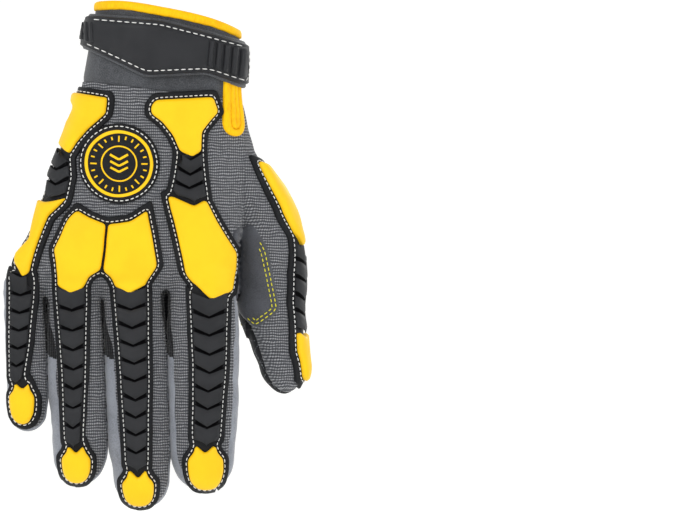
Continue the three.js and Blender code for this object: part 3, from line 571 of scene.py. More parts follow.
def softened(points, radius, step=0.9):
    """An outline with rounded corners and evenly spaced points."""
    count = len(points)
    curve = []
    for i in range(count):
        a, p, b = Vector(points[i - 1]), Vector(points[i]), Vector(points[(i + 1) % count])
        cut_a = min(radius, (a - p).length * 0.45)
        cut_b = min(radius, (b - p).length * 0.45)
        start = p + (a - p).normalized() * cut_a
        end = p + (b - p).normalized() * cut_b
        for k in range(5):
            t = k / 4
            curve.append(start * (1 - t) ** 2 + p * 2 * t * (1 - t) + end * t * t)
    return evenly(curve, step, closed=True)


def evenly(points, step, closed):
    points = [Vector(p) for p in points]
    if closed:
        points.append(points[0])
    lengths = [0.0]
    for p, q in zip(points, points[1:]):
        lengths.append(lengths[-1] + (q - p).length)
    total = lengths[-1]
    count = max(int(round(total / step)), 3)
    result, i = [], 0
    for k in range(count if closed else count + 1):
        target = total * k / count
        while i < len(points) - 2 and lengths[i + 1] < target:
            i += 1
        span = lengths[i + 1] - lengths[i]
        t = (target - lengths[i]) / span if span > 0 else 0
        result.append(tuple(points[i].lerp(points[i + 1], t)))
    return result


def joined_outline(outlines):
    """The outline round several overlapping ones."""
    points, faces = [], []
    for outline in outlines:
        start = len(points)
        points += [Vector(p) for p in counter_clockwise(outline)]
        faces.append(list(range(start, len(points))))
    made = delaunay_2d_cdt(points, [], faces, 1, 1e-3)
    coordinates, triangles, origins = made[0], made[2], made[5]
    directed = set()
    for triangle, origin in zip(triangles, origins):
        if origin:
            corners = list(triangle)
            directed.update(zip(corners, corners[1:] + corners[:1]))
    follow = {a: b for a, b in directed if (b, a) not in directed}
    loops = []
    while follow:
        start, current = next(iter(follow.items()))
        loop = [start]
        del follow[start]
        while current != start and current in follow:
            loop.append(current)
            current = follow.pop(current)
        loops.append([tuple(coordinates[i]) for i in loop])
    return max(loops, key=lambda loop: abs(signed_area(loop)))


class EdgeDistance:
    """Distance from points to an outline."""

    def __init__(self, outline):
        self.segments = list(zip(outline, outline[1:] + outline[:1]))

    def at(self, p):
        best = 1e9
        for a, b in self.segments:
            if min(abs(a[0] - p[0]), abs(b[0] - p[0])) > best + 3:
                continue
            ax, ay, bx, by = a[0], a[1], b[0] - a[0], b[1] - a[1]
            length = bx * bx + by * by
            t = 0 if length == 0 else min(max(((p[0] - ax) * bx + (p[1] - ay) * by) / length, 0), 1)
            best = min(best, math.hypot(p[0] - ax - bx * t, p[1] - ay - by * t))
        return best


def inside(outline, p):
    odd = False
    for a, b in zip(outline, outline[1:] + outline[:1]):
        if (a[1] > p[1]) != (b[1] > p[1]):
            if p[0] < (b[0] - a[0]) * (p[1] - a[1]) / (b[1] - a[1]) + a[0]:
                odd = not odd
    return odd


def plate(bm, sight, outline, profile, foot, step=1.6, steps_in=(0.35, 0.8, 1.5)):
    """Adds a moulded plate: an outline laid on the skin, whose height is profile(distance from its edge),
    with a wall down to foot all round."""
    outline = counter_clockwise(outline)
    loops = [outline]
    measure = EdgeDistance(outline)
    for distance in steps_in:
        ring = [
            p for p in grown(outline, -distance) if inside(outline, p) and measure.at(p) > distance * 0.9]
        if len(ring) > 6:
            loops.append(ring)
    points = [p for loop in loops for p in loop]
    xs = [p[0] for p in outline]
    ys = [p[1] for p in outline]
    deepest = steps_in[-1] if steps_in else 0
    row = 0
    y = min(ys) + step / 2
    while y < max(ys):
        x = min(xs) + (step / 2 if row % 2 else 0)
        while x < max(xs):
            if inside(outline, (x, y)) and measure.at((x, y)) > deepest + step * 0.4:
                points.append((x, y))
            x += step
        y += step * 0.87
        row += 1
    count = len(outline)
    edges = [(i, (i + 1) % count) for i in range(count)]
    made = delaunay_2d_cdt([Vector(p) for p in points], edges, [], 1, 1e-4)
    verts = []
    for p in made[0]:
        verts.append(bm.verts.new(sight.lay(p.x, p.y, profile(measure.at(p)))))
    border = set()
    for triangle in made[2]:
        corners = list(triangle)
        centre = [sum(made[0][i][k] for i in corners) / len(corners) for k in (0, 1)]
        if not inside(outline, centre):
            continue
        bm.faces.new([verts[i] for i in corners])
        border.update(zip(corners, corners[1:] + corners[:1]))
    low = {}

    def lowered(i):
        if i not in low:
            low[i] = bm.verts.new(sight.lay(made[0][i].x, made[0][i].y, foot))
        return low[i]

    for a, b in border:
        if (b, a) not in border:
            bm.faces.new((verts[b], verts[a], lowered(a), lowered(b)))


def band(bm, sight, path, width, base, height, closed=False):
    """Adds a raised band with rounded edges that follows a flat path on the skin."""
    profile = [(-0.5, 0), (-0.46, 0.6), (-0.34, 0.91), (0, 1), (0.34, 0.91), (0.46, 0.6), (0.5, 0)]
    rows = []
    count = len(path)
    for i, p in enumerate(path):
        a = Vector(path[i - 1] if (closed or i) else path[i])
        b = Vector(path[(i + 1) % count] if (closed or i < count - 1) else path[i])
        along = (b - a).normalized()
        normal = Vector((-along.y, along.x))
        rows.append([
            bm.verts.new(sight.lay(
                p[0] + normal.x * s * width, p[1] + normal.y * s * width, base + h * height))
            for s, h in profile])
    pairs = list(zip(rows, rows[1:])) + ([(rows[-1], rows[0])] if closed else [])
    for first, second in pairs:
        for k in range(len(profile) - 1):
            bm.faces.new((first[k], second[k], second[k + 1], first[k + 1]))
    if not closed:
        bm.faces.new(rows[0])
        bm.faces.new(list(reversed(rows[-1])))


def add_stitch(bm, start, end, normal, radius):
    """Adds one stitch: a short thread that bows up between its two needle holes."""
    along = end - start
    side = normal.cross(along).normalized()
    rings = []
    stations = ((0, -0.5, 0.25), (0.14, 0.35, 0.85), (0.5, 0.75, 1), (0.86, 0.35, 0.85), (1, -0.5, 0.25))
    for t, rise, size in stations:
        centre = start + along * t + normal * rise * radius
        rings.append([
            bm.verts.new(centre + (side * math.cos(a) + normal * math.sin(a)) * radius * size)
            for a in (2 * math.pi * k / 6 for k in range(6))])
    for first, second in zip(rings, rings[1:]):
        for k in range(6):
            n = (k + 1) % 6
            bm.faces.new((first[k], first[n], second[n], second[k]))
    bm.faces.new(list(reversed(rings[0])))
    bm.faces.new(rings[-1])


def stitch_line(bm, sight, path, height, closed=False, pitch=None):
    """Adds a run of stitches along a flat path."""
    pitch = pitch or sizes().stitch_pitch / MM
    radius = sizes().stitch_thread / MM / 2
    points = evenly(path, pitch, closed)
    places = [sight.touch(*p) for p in points]
    pairs = list(zip(places, places[1:])) + ([(places[-1], places[0])] if closed else [])
    for (p, n), (q, m) in pairs:
        if (q - p).length > pitch * 3:
            continue
        start = p + n * height
        end = q + m * height
        add_stitch(bm, start.lerp(end, 0.1), start.lerp(end, 0.78), (n + m).normalized(), radius)


# Materials


def linear(hex_colour):
    """sRGB hex to linear RGBA."""
    channels = [int(hex_colour[i:i + 2], 16) / 255 for i in (1, 3, 5)]
    return tuple(c / 12.92 if c <= 0.04045 else ((c + 0.055) / 1.055) ** 2.4 for c in channels) + (1.0,)


def add_node(tree, kind, links=None, **settings):
    """Adds a node with its settings and the values or links of its inputs."""
    node = tree.nodes.new(kind)
    for key, value in settings.items():
        setattr(node, key, value)
    for key, value in (links or {}).items():
        socket = node.inputs[key]
        if isinstance(value, bpy.types.NodeSocket):
            tree.links.new(value, socket)
        else:
            socket.default_value = value
    return node


def start_material(name, roughness, metallic=0.0, ior=1.5, specular=0.5, sheen=0.0, coat=0.0):
    material = bpy.data.materials.new(name)
    material.use_nodes = True
    tree = material.node_tree
    shader = tree.nodes["Principled BSDF"]
    shader.inputs["Roughness"].default_value = roughness
    shader.inputs["Metallic"].default_value = metallic
    shader.inputs["IOR"].default_value = ior
    shader.inputs["Specular IOR Level"].default_value = specular
    shader.inputs["Sheen Weight"].default_value = sheen
    shader.inputs["Coat Weight"].default_value = coat
    return material, tree, shader


def position_socket(tree):
    return add_node(tree, "ShaderNodeTexCoord").outputs["Object"]


def mapped(tree, vector, scale=(1, 1, 1), turn=(0, 0, 0)):
    return add_node(
        tree, "ShaderNodeMapping", {"Vector": vector, "Scale": scale, "Rotation": turn}).outputs[0]


def noise_socket(tree, vector, size_mm, detail=2.0, roughness=0.5):
    """Noise whose features are about size_mm across."""
    return add_node(tree, "ShaderNodeTexNoise", {
        "Vector": vector, "Scale": 1 / (size_mm * MM), "Detail": detail,
        "Roughness": roughness}).outputs["Fac"]


def math_socket(tree, operation, first, second=0.0):
    return add_node(tree, "ShaderNodeMath", {0: first, 1: second}, operation=operation).outputs[0]


def weighted(tree, first, first_share, second, second_share):
    return math_socket(
        tree, "ADD", math_socket(tree, "MULTIPLY", first, first_share),
        math_socket(tree, "MULTIPLY", second, second_share))


def ramp_socket(tree, value, low, high, to_low=0.0, to_high=1.0):
    return add_node(tree, "ShaderNodeMapRange", {
        "Value": value, "From Min": low, "From Max": high, "To Min": to_low, "To Max": to_high},
        interpolation_type="SMOOTHSTEP").outputs[0]


def mix_colours(tree, factor, first, second):
    node = add_node(tree, "ShaderNodeMix", data_type="RGBA")
    for index, value in ((0, factor), (6, first), (7, second)):
        if isinstance(value, bpy.types.NodeSocket):
            tree.links.new(value, node.inputs[index])
        else:
            node.inputs[index].default_value = value
    return node.outputs[2]


def bump(tree, shader, height, distance_mm, strength=1.0):
    node = add_node(tree, "ShaderNodeBump", {
        "Height": height, "Distance": distance_mm * MM, "Strength": strength})
    tree.links.new(node.outputs[0], shader.inputs["Normal"])


def moulded_rubber(name, hex_colour, dusk=0.82, roughness=0.42, gloss=0.42):
    """Thermoplastic rubber, injection moulded: smooth satin skin, a faint orange-peel, slightly darker in soft
    cloudy patches."""
    material, tree, shader = start_material(name, roughness, ior=1.5, specular=gloss)
    place = position_socket(tree)
    cloud = noise_socket(tree, place, 14, 3)
    base = linear(hex_colour)
    dark = tuple(c * dusk for c in base[:3]) + (1.0,)
    colour = mix_colours(tree, ramp_socket(tree, cloud, 0.3, 0.7), dark, base)
    tree.links.new(colour, shader.inputs["Base Color"])
    grain = noise_socket(tree, place, 0.5, 2)
    tree.links.new(
        ramp_socket(tree, cloud, 0.3, 0.7, roughness + 0.08, roughness - 0.04), shader.inputs["Roughness"])
    bump(tree, shader, grain, 0.05, 0.6)
    return material


def ribbed_knit(name, light, dark, turn=0.0):
    """Polyester mesh knit: rows of light loops over a dark ground, in a grid that reads as fine dashes."""
    material, tree, shader = start_material(name, 0.9, ior=1.46, specular=0.2, sheen=0.15)
    place = mapped(tree, position_socket(tree), turn=(0, 0, -math.radians(turn)))
    stir = noise_socket(tree, place, 6, 1)
    parts = add_node(tree, "ShaderNodeSeparateXYZ", {0: place})
    # As coarse as it needs to be to show: a row is about three of the photograph's pixels high
    row = sizes().knit_pitch
    column = row * 0.72
    wobble = math_socket(tree, "MULTIPLY", stir, 0.0016)
    across = math_socket(tree, "ADD", parts.outputs["X"], wobble)
    up = math_socket(tree, "ADD", parts.outputs["Z"], wobble)
    u = math_socket(tree, "SINE", math_socket(tree, "MULTIPLY", across, 2 * math.pi / column))
    v = math_socket(tree, "SINE", math_socket(tree, "MULTIPLY", up, 2 * math.pi / row))
    loops = weighted(tree, v, 0.62, u, 0.38)
    mask = ramp_socket(tree, loops, -0.15, 0.65)
    patchy = noise_socket(tree, place, 2.2, 2)
    mask = math_socket(tree, "MULTIPLY", mask, ramp_socket(tree, patchy, 0.25, 0.6, 0.55, 1.0))
    tree.links.new(mix_colours(tree, mask, linear(dark), linear(light)), shader.inputs["Base Color"])
    bump(tree, shader, loops, 0.35, 0.8)
    return material


def microfibre_suede(name, hex_colour):
    """Microfibre suede, brushed: short nap that scatters light softly, with faint darker rubs."""
    material, tree, shader = start_material(name, 0.95, ior=1.46, specular=0.15, sheen=0.35)
    shader.inputs["Sheen Roughness"].default_value = 0.5
    place = position_socket(tree)
    nap = noise_socket(tree, place, 0.7, 4, 0.7)
    rub = noise_socket(tree, place, 9, 3)
    base = linear(hex_colour)
    dark = tuple(c * 0.62 for c in base[:3]) + (1.0,)
    mixed = weighted(tree, nap, 0.6, rub, 0.4)
    tree.links.new(
        mix_colours(tree, ramp_socket(tree, mixed, 0.32, 0.6), dark, base), shader.inputs["Base Color"])
    bump(tree, shader, nap, 0.18, 0.7)
    return material


def faced_neoprene(name, hex_colour):
    """Neoprene foam faced with fine jersey: soft, even, with a very fine fleck from the jersey's loops."""
    material, tree, shader = start_material(name, 0.85, ior=1.46, specular=0.25, sheen=0.2)
    place = position_socket(tree)
    fleck = noise_socket(tree, place, 0.55, 3, 0.7)
    cloud = noise_socket(tree, place, 16, 2)
    base = linear(hex_colour)
    dark = tuple(c * 0.55 for c in base[:3]) + (1.0,)
    light = tuple(min(c * 1.35, 1) for c in base[:3]) + (1.0,)
    mixed = weighted(tree, fleck, 0.7, cloud, 0.3)
    colour = mix_colours(tree, ramp_socket(tree, mixed, 0.36, 0.66), dark, light)
    tree.links.new(colour, shader.inputs["Base Color"])
    bump(tree, shader, fleck, 0.12, 0.6)
    return material


def cube_lines(tree, place, edge, width):
    """Outlines of stacked cubes over the glove's front plane, 1 on a line and 0 off it. They are the lines
    of a triangular grid with every third edge left out."""
    parts = add_node(tree, "ShaderNodeSeparateXYZ", {0: place})
    x, z = parts.outputs["X"], parts.outputs["Z"]
    root3 = math.sqrt(3)
    rising = weighted(tree, x, 1 / edge, z, root3 / edge)
    falling = weighted(tree, x, 1 / edge, z, -root3 / edge)
    total = None
    directions = ((0, 1, rising), (root3 / 2, -0.5, falling), (root3 / 2, 0.5, rising))
    for across_x, across_z, count in directions:
        across = weighted(tree, x, across_x, z, across_z)
        off = math_socket(tree, "PINGPONG", across, edge * root3 / 4)
        line = ramp_socket(tree, off, width * 0.3, width * 0.7, 1.0, 0.0)
        third = add_node(tree, "ShaderNodeMath", {0: count, 1: 3.0, 2: 0.0}, operation="WRAP").outputs[0]
        away = math_socket(tree, "ABSOLUTE", math_socket(tree, "SUBTRACT", third, 1.5))
        line = math_socket(tree, "MULTIPLY", line, math_socket(tree, "GREATER_THAN", away, 0.5))
        total = line if total is None else math_socket(tree, "MAXIMUM", total, line)
    return total


def printed_leather(name, hex_colour, print_colour, printed=True):
    """Synthetic palm leather, embossed and screen printed: fine pebble grain, a dull black face, and thin
    silver outlines of cubes that break up where the print has not taken."""
    material, tree, shader = start_material(name, 0.68, ior=1.5, specular=0.16)
    place = position_socket(tree)
    pebble = 0.9 * MM
    grain = add_node(tree, "ShaderNodeTexVoronoi", {"Vector": place, "Scale": 1 / pebble}).outputs["Distance"]
    cloud = noise_socket(tree, place, 12, 3)
    base = linear(hex_colour)
    lifted = tuple(c * 1.6 for c in base[:3]) + (1.0,)
    colour = mix_colours(tree, ramp_socket(tree, cloud, 0.35, 0.7), base, lifted)
    if printed:
        # The lines are as wide as they need to be to show, which is about one of the photograph's pixels
        cube_edge, line_width = 6.2 * MM, 0.45 * MM
        total = cube_lines(tree, place, cube_edge, line_width)
        broken = noise_socket(tree, place, 1.1, 3, 0.7)
        total = math_socket(tree, "MULTIPLY", total, ramp_socket(tree, broken, 0.49, 0.63, 0.02, 0.6))
        colour = mix_colours(tree, total, colour, linear(print_colour))
    tree.links.new(colour, shader.inputs["Base Color"])
    bump(tree, shader, grain, 0.16, 0.55)
    return material


def zigzag_print(name, hex_colour, print_colour):
    """Silver herringbone printed on black leather, in fine slanting strokes."""
    material, tree, shader = start_material(name, 0.5, ior=1.5, specular=0.4)
    place = position_socket(tree)
    parts = add_node(tree, "ShaderNodeSeparateXYZ", {0: place})
    fold = math_socket(tree, "PINGPONG", parts.outputs["Z"], 1.1 * MM)
    stroke = math_socket(tree, "SINE", math_socket(
        tree, "MULTIPLY", math_socket(tree, "ADD", parts.outputs["X"], fold), 2 * math.pi / (1.3 * MM)))
    broken = noise_socket(tree, place, 2.5, 3)
    mask = math_socket(
        tree, "MULTIPLY", ramp_socket(tree, stroke, -0.3, 0.5),
        ramp_socket(tree, broken, 0.35, 0.6, 0.35, 1.0))
    colour = mix_colours(tree, mask, linear(hex_colour), linear(print_colour))
    tree.links.new(colour, shader.inputs["Base Color"])
    bump(tree, shader, stroke, 0.12, 0.5)
    return material


def woven_tape(name, hex_colour):
    """Woven polyester binding tape: close cross threads, slightly glossy, darker in the weave."""
    material, tree, shader = start_material(name, 0.65, ior=1.5, specular=0.2)
    place = position_socket(tree)
    thread = noise_socket(tree, mapped(tree, place, scale=(1, 1, 0.35)), 0.6, 2)
    soft = noise_socket(tree, place, 5, 2)
    base = linear(hex_colour)
    dark = (base[0] * 0.9, base[1] * 0.8, base[2] * 0.5, 1.0)
    mixed = weighted(tree, thread, 0.5, soft, 0.5)
    colour = mix_colours(tree, ramp_socket(tree, mixed, 0.34, 0.58), dark, base)
    tree.links.new(colour, shader.inputs["Base Color"])
    bump(tree, shader, thread, 0.12, 0.6)
    return material


def twisted_thread(name, hex_colour):
    """Polyester sewing thread, twisted: fine slanting plies and a soft shine."""
    material, tree, shader = start_material(name, 0.55, ior=1.5, specular=0.3)
    place = position_socket(tree)
    ply = noise_socket(tree, place, 0.35, 2)
    base = linear(hex_colour)
    dark = tuple(c * 0.7 for c in base[:3]) + (1.0,)
    colour = mix_colours(tree, ramp_socket(tree, ply, 0.3, 0.55), dark, base)
    tree.links.new(colour, shader.inputs["Base Color"])
    return material


def lacquered_metal(name, hex_colour):
    """Pressed steel stud, black lacquered: smooth and glossy with faint handling marks."""
    material, tree, shader = start_material(name, 0.28, ior=1.5, coat=0.4)
    place = position_socket(tree)
    marks = noise_socket(tree, place, 1.2, 3)
    base = linear(hex_colour)
    worn = tuple(c * 1.8 for c in base[:3]) + (1.0,)
    tree.links.new(mix_colours(tree, marks, base, worn), shader.inputs["Base Color"])
    tree.links.new(ramp_socket(tree, marks, 0.3, 0.7, 0.22, 0.4), shader.inputs["Roughness"])
    return material


def matt_stage(name, hex_colour):
    """Painted studio floor and backdrop: even, matt and pale."""
    material, _, shader = start_material(name, 0.9, specular=0.1)
    shader.inputs["Base Color"].default_value = linear(hex_colour)
    # A faint light of its own keeps the backdrop evenly white
    shader.inputs["Emission Color"].default_value = linear(hex_colour)
    shader.inputs["Emission Strength"].default_value = 0.27
    return material


class Workshop:
    """What the operators share: the skin, the sights on it, and the materials, each made once."""

    def __init__(self):
        self.skin = Skin()
        self.front = Sight(self.skin)
        self.palm = Sight(self.skin, 180)
        self.pinky_side = Sight(
            self.skin, -15, only=lambda p: p.z > -HAND_LENGTH - 8 or side_of_finger(p)[0] == "pinky")
        c = colours()
        self.rubber_black = moulded_rubber("moulded_rubber_black", c.guard_black, roughness=0.5, gloss=0.2)
        self.flange_black = moulded_rubber("moulded_rubber_thin", c.flange_black, roughness=0.55, gloss=0.14)
        # The strips' rubber made near-black and matt: painted shade for the chevron grooves
        self.groove_painted_shade = moulded_rubber("moulded_rubber_groove_painted_shade", c.groove_painted_shade, roughness=0.7, gloss=0.05)
        self.rubber_yellow = moulded_rubber(
            "moulded_rubber_yellow", c.pad_yellow, dusk=0.93, roughness=0.46, gloss=0.25)
        self.knit = ribbed_knit("ribbed_knit", c.knit_light, c.knit_dark)
        self.thumb_knit = ribbed_knit("ribbed_knit_thumb", c.knit_light, c.knit_dark, THUMB_GUARD_TURN / 2)
        self.gusset = ribbed_knit("stretch_gusset", c.guard_black, c.leather)
        self.suede = microfibre_suede("microfibre_suede", c.suede)
        self.dark_suede = microfibre_suede("microfibre_suede_dark", c.suede_dark)
        self.neoprene = faced_neoprene("faced_neoprene", c.neoprene)
        self.leather = printed_leather("printed_leather", c.leather, c.print_silver)
        self.plain_leather = printed_leather("plain_leather", c.leather, c.print_silver, printed=False)
        self.zigzag = zigzag_print("zigzag_print", c.leather, c.print_silver)
        self.tape = woven_tape("woven_tape", c.tape_yellow)
        self.white_thread = twisted_thread("white_thread", c.thread_white)
        self.yellow_thread = twisted_thread("yellow_thread", c.thread_yellow)
        self.lacquer = lacquered_metal("lacquered_metal", c.snap_black)


_made = {}


def workshop():
    if "workshop" not in _made:
        _made["workshop"] = Workshop()
    return _made["workshop"]


# Outlines of the rubber on the back: shares of PALM_WIDTH across and of HAND_LENGTH down


def on_hand(rows):
    return [(across * PALM_WIDTH - HAND_OFFSET, -down * HAND_LENGTH) for across, down in rows]


HAND_PADS = {
    "pinky_wrist": on_hand([
        (-0.343, 0.311), (-0.199, 0.33), (-0.208, 0.388), (-0.288, 0.451), (-0.332, 0.495), (-0.366, 0.54),
        (-0.4, 0.512), (-0.372, 0.45), (-0.334, 0.366), (-0.352, 0.337)]),
    "pinky_knuckle": on_hand([
        (-0.488, 0.707), (-0.47, 0.718), (-0.38, 0.7), (-0.46, 0.766), (-0.504, 0.857), (-0.549, 0.967),
        (-0.582, 0.989), (-0.605, 0.938), (-0.596, 0.908), (-0.537, 0.85), (-0.501, 0.744)]),
    "ring_knuckle": on_hand([
        (-0.336, 0.74), (-0.288, 0.766), (-0.212, 0.791), (-0.221, 0.879), (-0.235, 0.952), (-0.288, 0.974),
        (-0.323, 1.029), (-0.372, 1.048), (-0.42, 1.015), (-0.429, 0.938), (-0.438, 0.886), (-0.407, 0.835),
        (-0.372, 0.773)]),
    "middle_knuckle": on_hand([
        (-0.204, 0.791), (-0.106, 0.78), (-0.031, 0.74), (-0.013, 0.813), (0.013, 0.938), (-0.035, 0.993),
        (-0.044, 1.011), (-0.111, 1.048), (-0.164, 1.022), (-0.195, 0.974), (-0.227, 0.955),
        (-0.213, 0.879)]),
    "index_wrist": on_hand([
        (-0.013, 0.359), (0.009, 0.337), (0.252, 0.326), (0.274, 0.381), (0.208, 0.451), (0.204, 0.524),
        (0.164, 0.546), (0.111, 0.524), (0.08, 0.465), (0.035, 0.418), (-0.013, 0.388)]),
    "index_knuckle": on_hand([
        (0.058, 0.692), (0.08, 0.689), (0.173, 0.723), (0.221, 0.7), (0.27, 0.78), (0.345, 0.894),
        (0.327, 1.037), (0.248, 1.07), (0.173, 1.007), (0.133, 0.96), (0.102, 0.842), (0.071, 0.736)]),
}
HAND_STRIPS = {
    "pinky_wrist": (2, on_hand([
        (-0.404, 0.524), (-0.37, 0.552), (-0.366, 0.62), (-0.384, 0.69), (-0.466, 0.706), (-0.446, 0.6)])),
    "index_wrist": (2, on_hand([
        (0.11, 0.535), (0.164, 0.556), (0.206, 0.534), (0.21, 0.6), (0.223, 0.69), (0.173, 0.712),
        (0.08, 0.678), (0.1, 0.6)])),
}
FingerGuard = namedtuple("FingerGuard", "left right start narrow lean cap_at cap_end cap_left cap_right")
FINGER_GUARDS = {
    "pinky": FingerGuard(-0.7, 0.2, 0, 0.24, -0.14, 0.69, 0.93, -0.52, 0.46),
    "ring": FingerGuard(-0.51, 0.36, 0.075, 0.23, -0.09, 0.82, 0.972, -0.44, 0.45),
    "middle": FingerGuard(-0.485, 0.42, 0.07, 0.18, -0.07, 0.84, 0.972, -0.47, 0.44),
    "index": FingerGuard(-0.27, 0.67, 0.1, 0.145, -0.105, 0.79, 0.972, -0.305, 0.64),
}
CHEVRON_DROP = 0.45
GUARD_BORDER = 3.2
# Shapes of one guard that come closer than twice this are joined by its flange
GUARD_JOIN = 2.2


def on_finger(finger, rows):
    half = finger.width * PALM_WIDTH / 2
    result = []
    for side, along in rows:
        z = -HAND_LENGTH - along * finger.length
        result.append((finger_section(finger, z).x + side * half, z))
    return result


def strip_outline(name):
    finger, guard = FINGERS[name], FINGER_GUARDS[name]
    narrow = guard.narrow
    share = finger.width * PALM_WIDTH / 2 / finger.length
    point = CHEVRON_DROP * (guard.right - guard.left) * 0.5 * share
    centre = (guard.left + guard.right) / 2 + guard.lean
    end = guard.cap_at - 0.012
    # The top runs in under the knuckle pad
    start = guard.start - 0.045
    return on_finger(finger, [
        (guard.left, start), ((guard.left + guard.right) / 2, start + point), (guard.right, start),
        (guard.right - narrow / 2, 0.4),
        (guard.right - narrow + guard.lean, end - point), (centre, end),
        (guard.left + narrow + guard.lean, end - point), (guard.left + narrow / 2, 0.4)])


def cap_outline(name):
    finger, guard = FINGERS[name], FINGER_GUARDS[name]
    centre = (guard.cap_left + guard.cap_right) / 2 + guard.lean
    wide = (guard.cap_right - guard.cap_left) / 2
    notch = 0.02
    span = guard.cap_end - guard.cap_at
    rows = [(-0.55, -notch), (0, notch), (0.55, -notch), (0.66, 0.09), (1, 0.27), (0.98, 0.55), (0.84, 0.8),
            (0.5, 0.96), (0, 1), (-0.5, 0.96), (-0.84, 0.8), (-0.98, 0.55), (-1, 0.27), (-0.66, 0.09)]
    return on_finger(finger, [
        (centre + side * wide, guard.cap_at + (along if abs(along) <= notch else along * span))
        for side, along in rows])


THUMB_PIVOT_AT = 0.6
THUMB_PIVOT = (
    column_at(THUMB_ROWS, "out", THUMB_PIVOT_AT) * PALM_WIDTH - HAND_OFFSET,
    column_at(THUMB_ROWS, "forward", THUMB_PIVOT_AT) * THUMB_FORWARD)


def on_thumb(rows, turn=THUMB_GUARD_TURN):
    angle = math.radians(turn)
    result = []
    for side, along in rows:
        z = -HAND_LENGTH * THUMB_ROOT - along * THUMB_LENGTH
        s = thumb_section(z)
        across = (s.x - THUMB_PIVOT[0]) * math.cos(angle) + (s.y - THUMB_PIVOT[1]) * math.sin(angle)
        result.append((across + side * THUMB_WIDTH, z))
    return result


THUMB_PAD = [
    (-0.2, 0.2), (0.0, 0.215), (0.2, 0.3), (0.3, 0.4), (0.3, 0.47), (0.1, 0.495), (-0.12, 0.45),
    (-0.24, 0.38), (-0.24, 0.28)]
THUMB_STRIP = [
    (-0.16, 0.475), (0.04, 0.51), (0.24, 0.49), (0.26, 0.6), (0.24, 0.77), (0.06, 0.79), (-0.14, 0.77),
    (-0.16, 0.6)]
THUMB_CAP = [
    (-0.14, 0.785), (0.06, 0.805), (0.24, 0.785), (0.28, 0.84), (0.22, 0.91), (0.08, 0.955), (-0.08, 0.94),
    (-0.18, 0.86)]


# The pieces


def cut_along(bm, value):
    """Splits faces along the line where value, worked out at each vertex, is zero."""
    at = {v: value(v.co) for v in bm.verts}
    fresh = []
    for edge in [e for e in bm.edges if at[e.verts[0]] * at[e.verts[1]] < 0]:
        a, b = edge.verts
        t = at[a] / (at[a] - at[b])
        t = min(max(t, 0.02), 0.98)
        made = bmesh.utils.edge_split(edge, a, t)[1]
        fresh.append(made)
    bmesh.ops.connect_verts(bm, verts=fresh)


def keep_where(bm, test):
    """Drops the faces whose middle fails a test."""
    bmesh.ops.delete(
        bm, geom=[f for f in bm.faces if not test(f.calc_center_median())], context="FACES")
    bmesh.ops.delete(bm, geom=[v for v in bm.verts if not v.link_faces], context="VERTS")


def thumb_out(p, turn):
    s = thumb_section(p.z)
    angle = math.radians(turn)
    return (p.x - s.x) * math.sin(angle) - (p.y - s.y) * math.cos(angle)


def slit_distance(p):
    """Distance from the slit's edge on the cuff, below 0 inside it."""
    angle = math.radians(SLIT_TURN)
    if p.x * math.sin(angle) - p.y * math.cos(angle) < 0:
        return 50.0
    across = p.x * math.cos(angle) + p.y * math.sin(angle)
    top = -CUFF_HEIGHT * SLIT_TOP
    low = top - SLIT_LENGTH
    return math.hypot(across, min(p.z - low, 0)) - SLIT_WIDTH / 2 if p.z < top else 50.0


# How far forward the suede of the side walls comes, in millimetres, at each finger's left and right side
SUEDE_FORWARD = {"pinky": (0.0, -1.5), "ring": (5.0, -1.5), "middle": (5.5, -1.5), "index": (4.0, 3.0)}


def back_seam(p):
    seam = seam_depth(p.z, FINGER_BACK_SEAM)
    below = smooth_step(-HAND_LENGTH - 12, -HAND_LENGTH - 34, p.z)
    if below > 0:
        name, at = side_of_finger(p)
        left, right = SUEDE_FORWARD[name]
        seam -= below * (left * smooth_step(0.2, 0.6, -at) + right * smooth_step(0.2, 0.6, at))
    return seam


def palm_border(p):
    """How far the palm's leather stands back on a finger, where the suede wraps round to the palm side."""
    below = smooth_step(-HAND_LENGTH - 6, -HAND_LENGTH - 26, p.z)
    if below <= 0:
        return 0.0
    name = side_of_finger(p)[0]
    tip = -HAND_LENGTH - FINGERS[name].length
    return 1.3 * below + (0 if name == "index" else 4.5 * smooth_step(tip + 14, tip + 4, p.z))


PANEL_TESTS = {
    "cuff": lambda p: p.z - cuff_seam_at(p.x),
    "thumb": lambda p: p.x - THUMB_CUT * PALM_WIDTH,
    "back": lambda p: back_seam(p) - p.y,
    "palm": lambda p: p.y - seam_depth(p.z, FINGER_PALM_SEAM) - palm_border(p),
    "thumb_leather": lambda p: (
        thumb_out(p, THUMB_LEATHER_TURN) - THUMB_LEATHER_SEAM * THUMB_WIDTH + 4 * smooth_step(-148, -166, p.z)),
    "edge": lambda p: cuff_edge_at(p.x) - EDGE_TAPE_COVER - p.z,
    "slit": slit_distance,
}


def panel_mesh(skin, above, below=()):
    """The part of the skin where each test of above is positive and each of below is negative."""
    bm = bmesh.new()
    bm.from_mesh(skin.mesh)
    for name in (*above, *below):
        test = PANEL_TESTS[name]
        sign = 1 if name in above else -1
        band_width = 4.0
        keep_where(bm, lambda c: sign * test(c) > -band_width)
        cut_along(bm, test)
        keep_where(bm, lambda c: sign * test(c) > 0)
    return bm


# How deep a seam pulls the cloth in, and how far from the seam that is felt, in millimetres
SEAM_PULL = 0.55
SEAM_REACH = 1.6


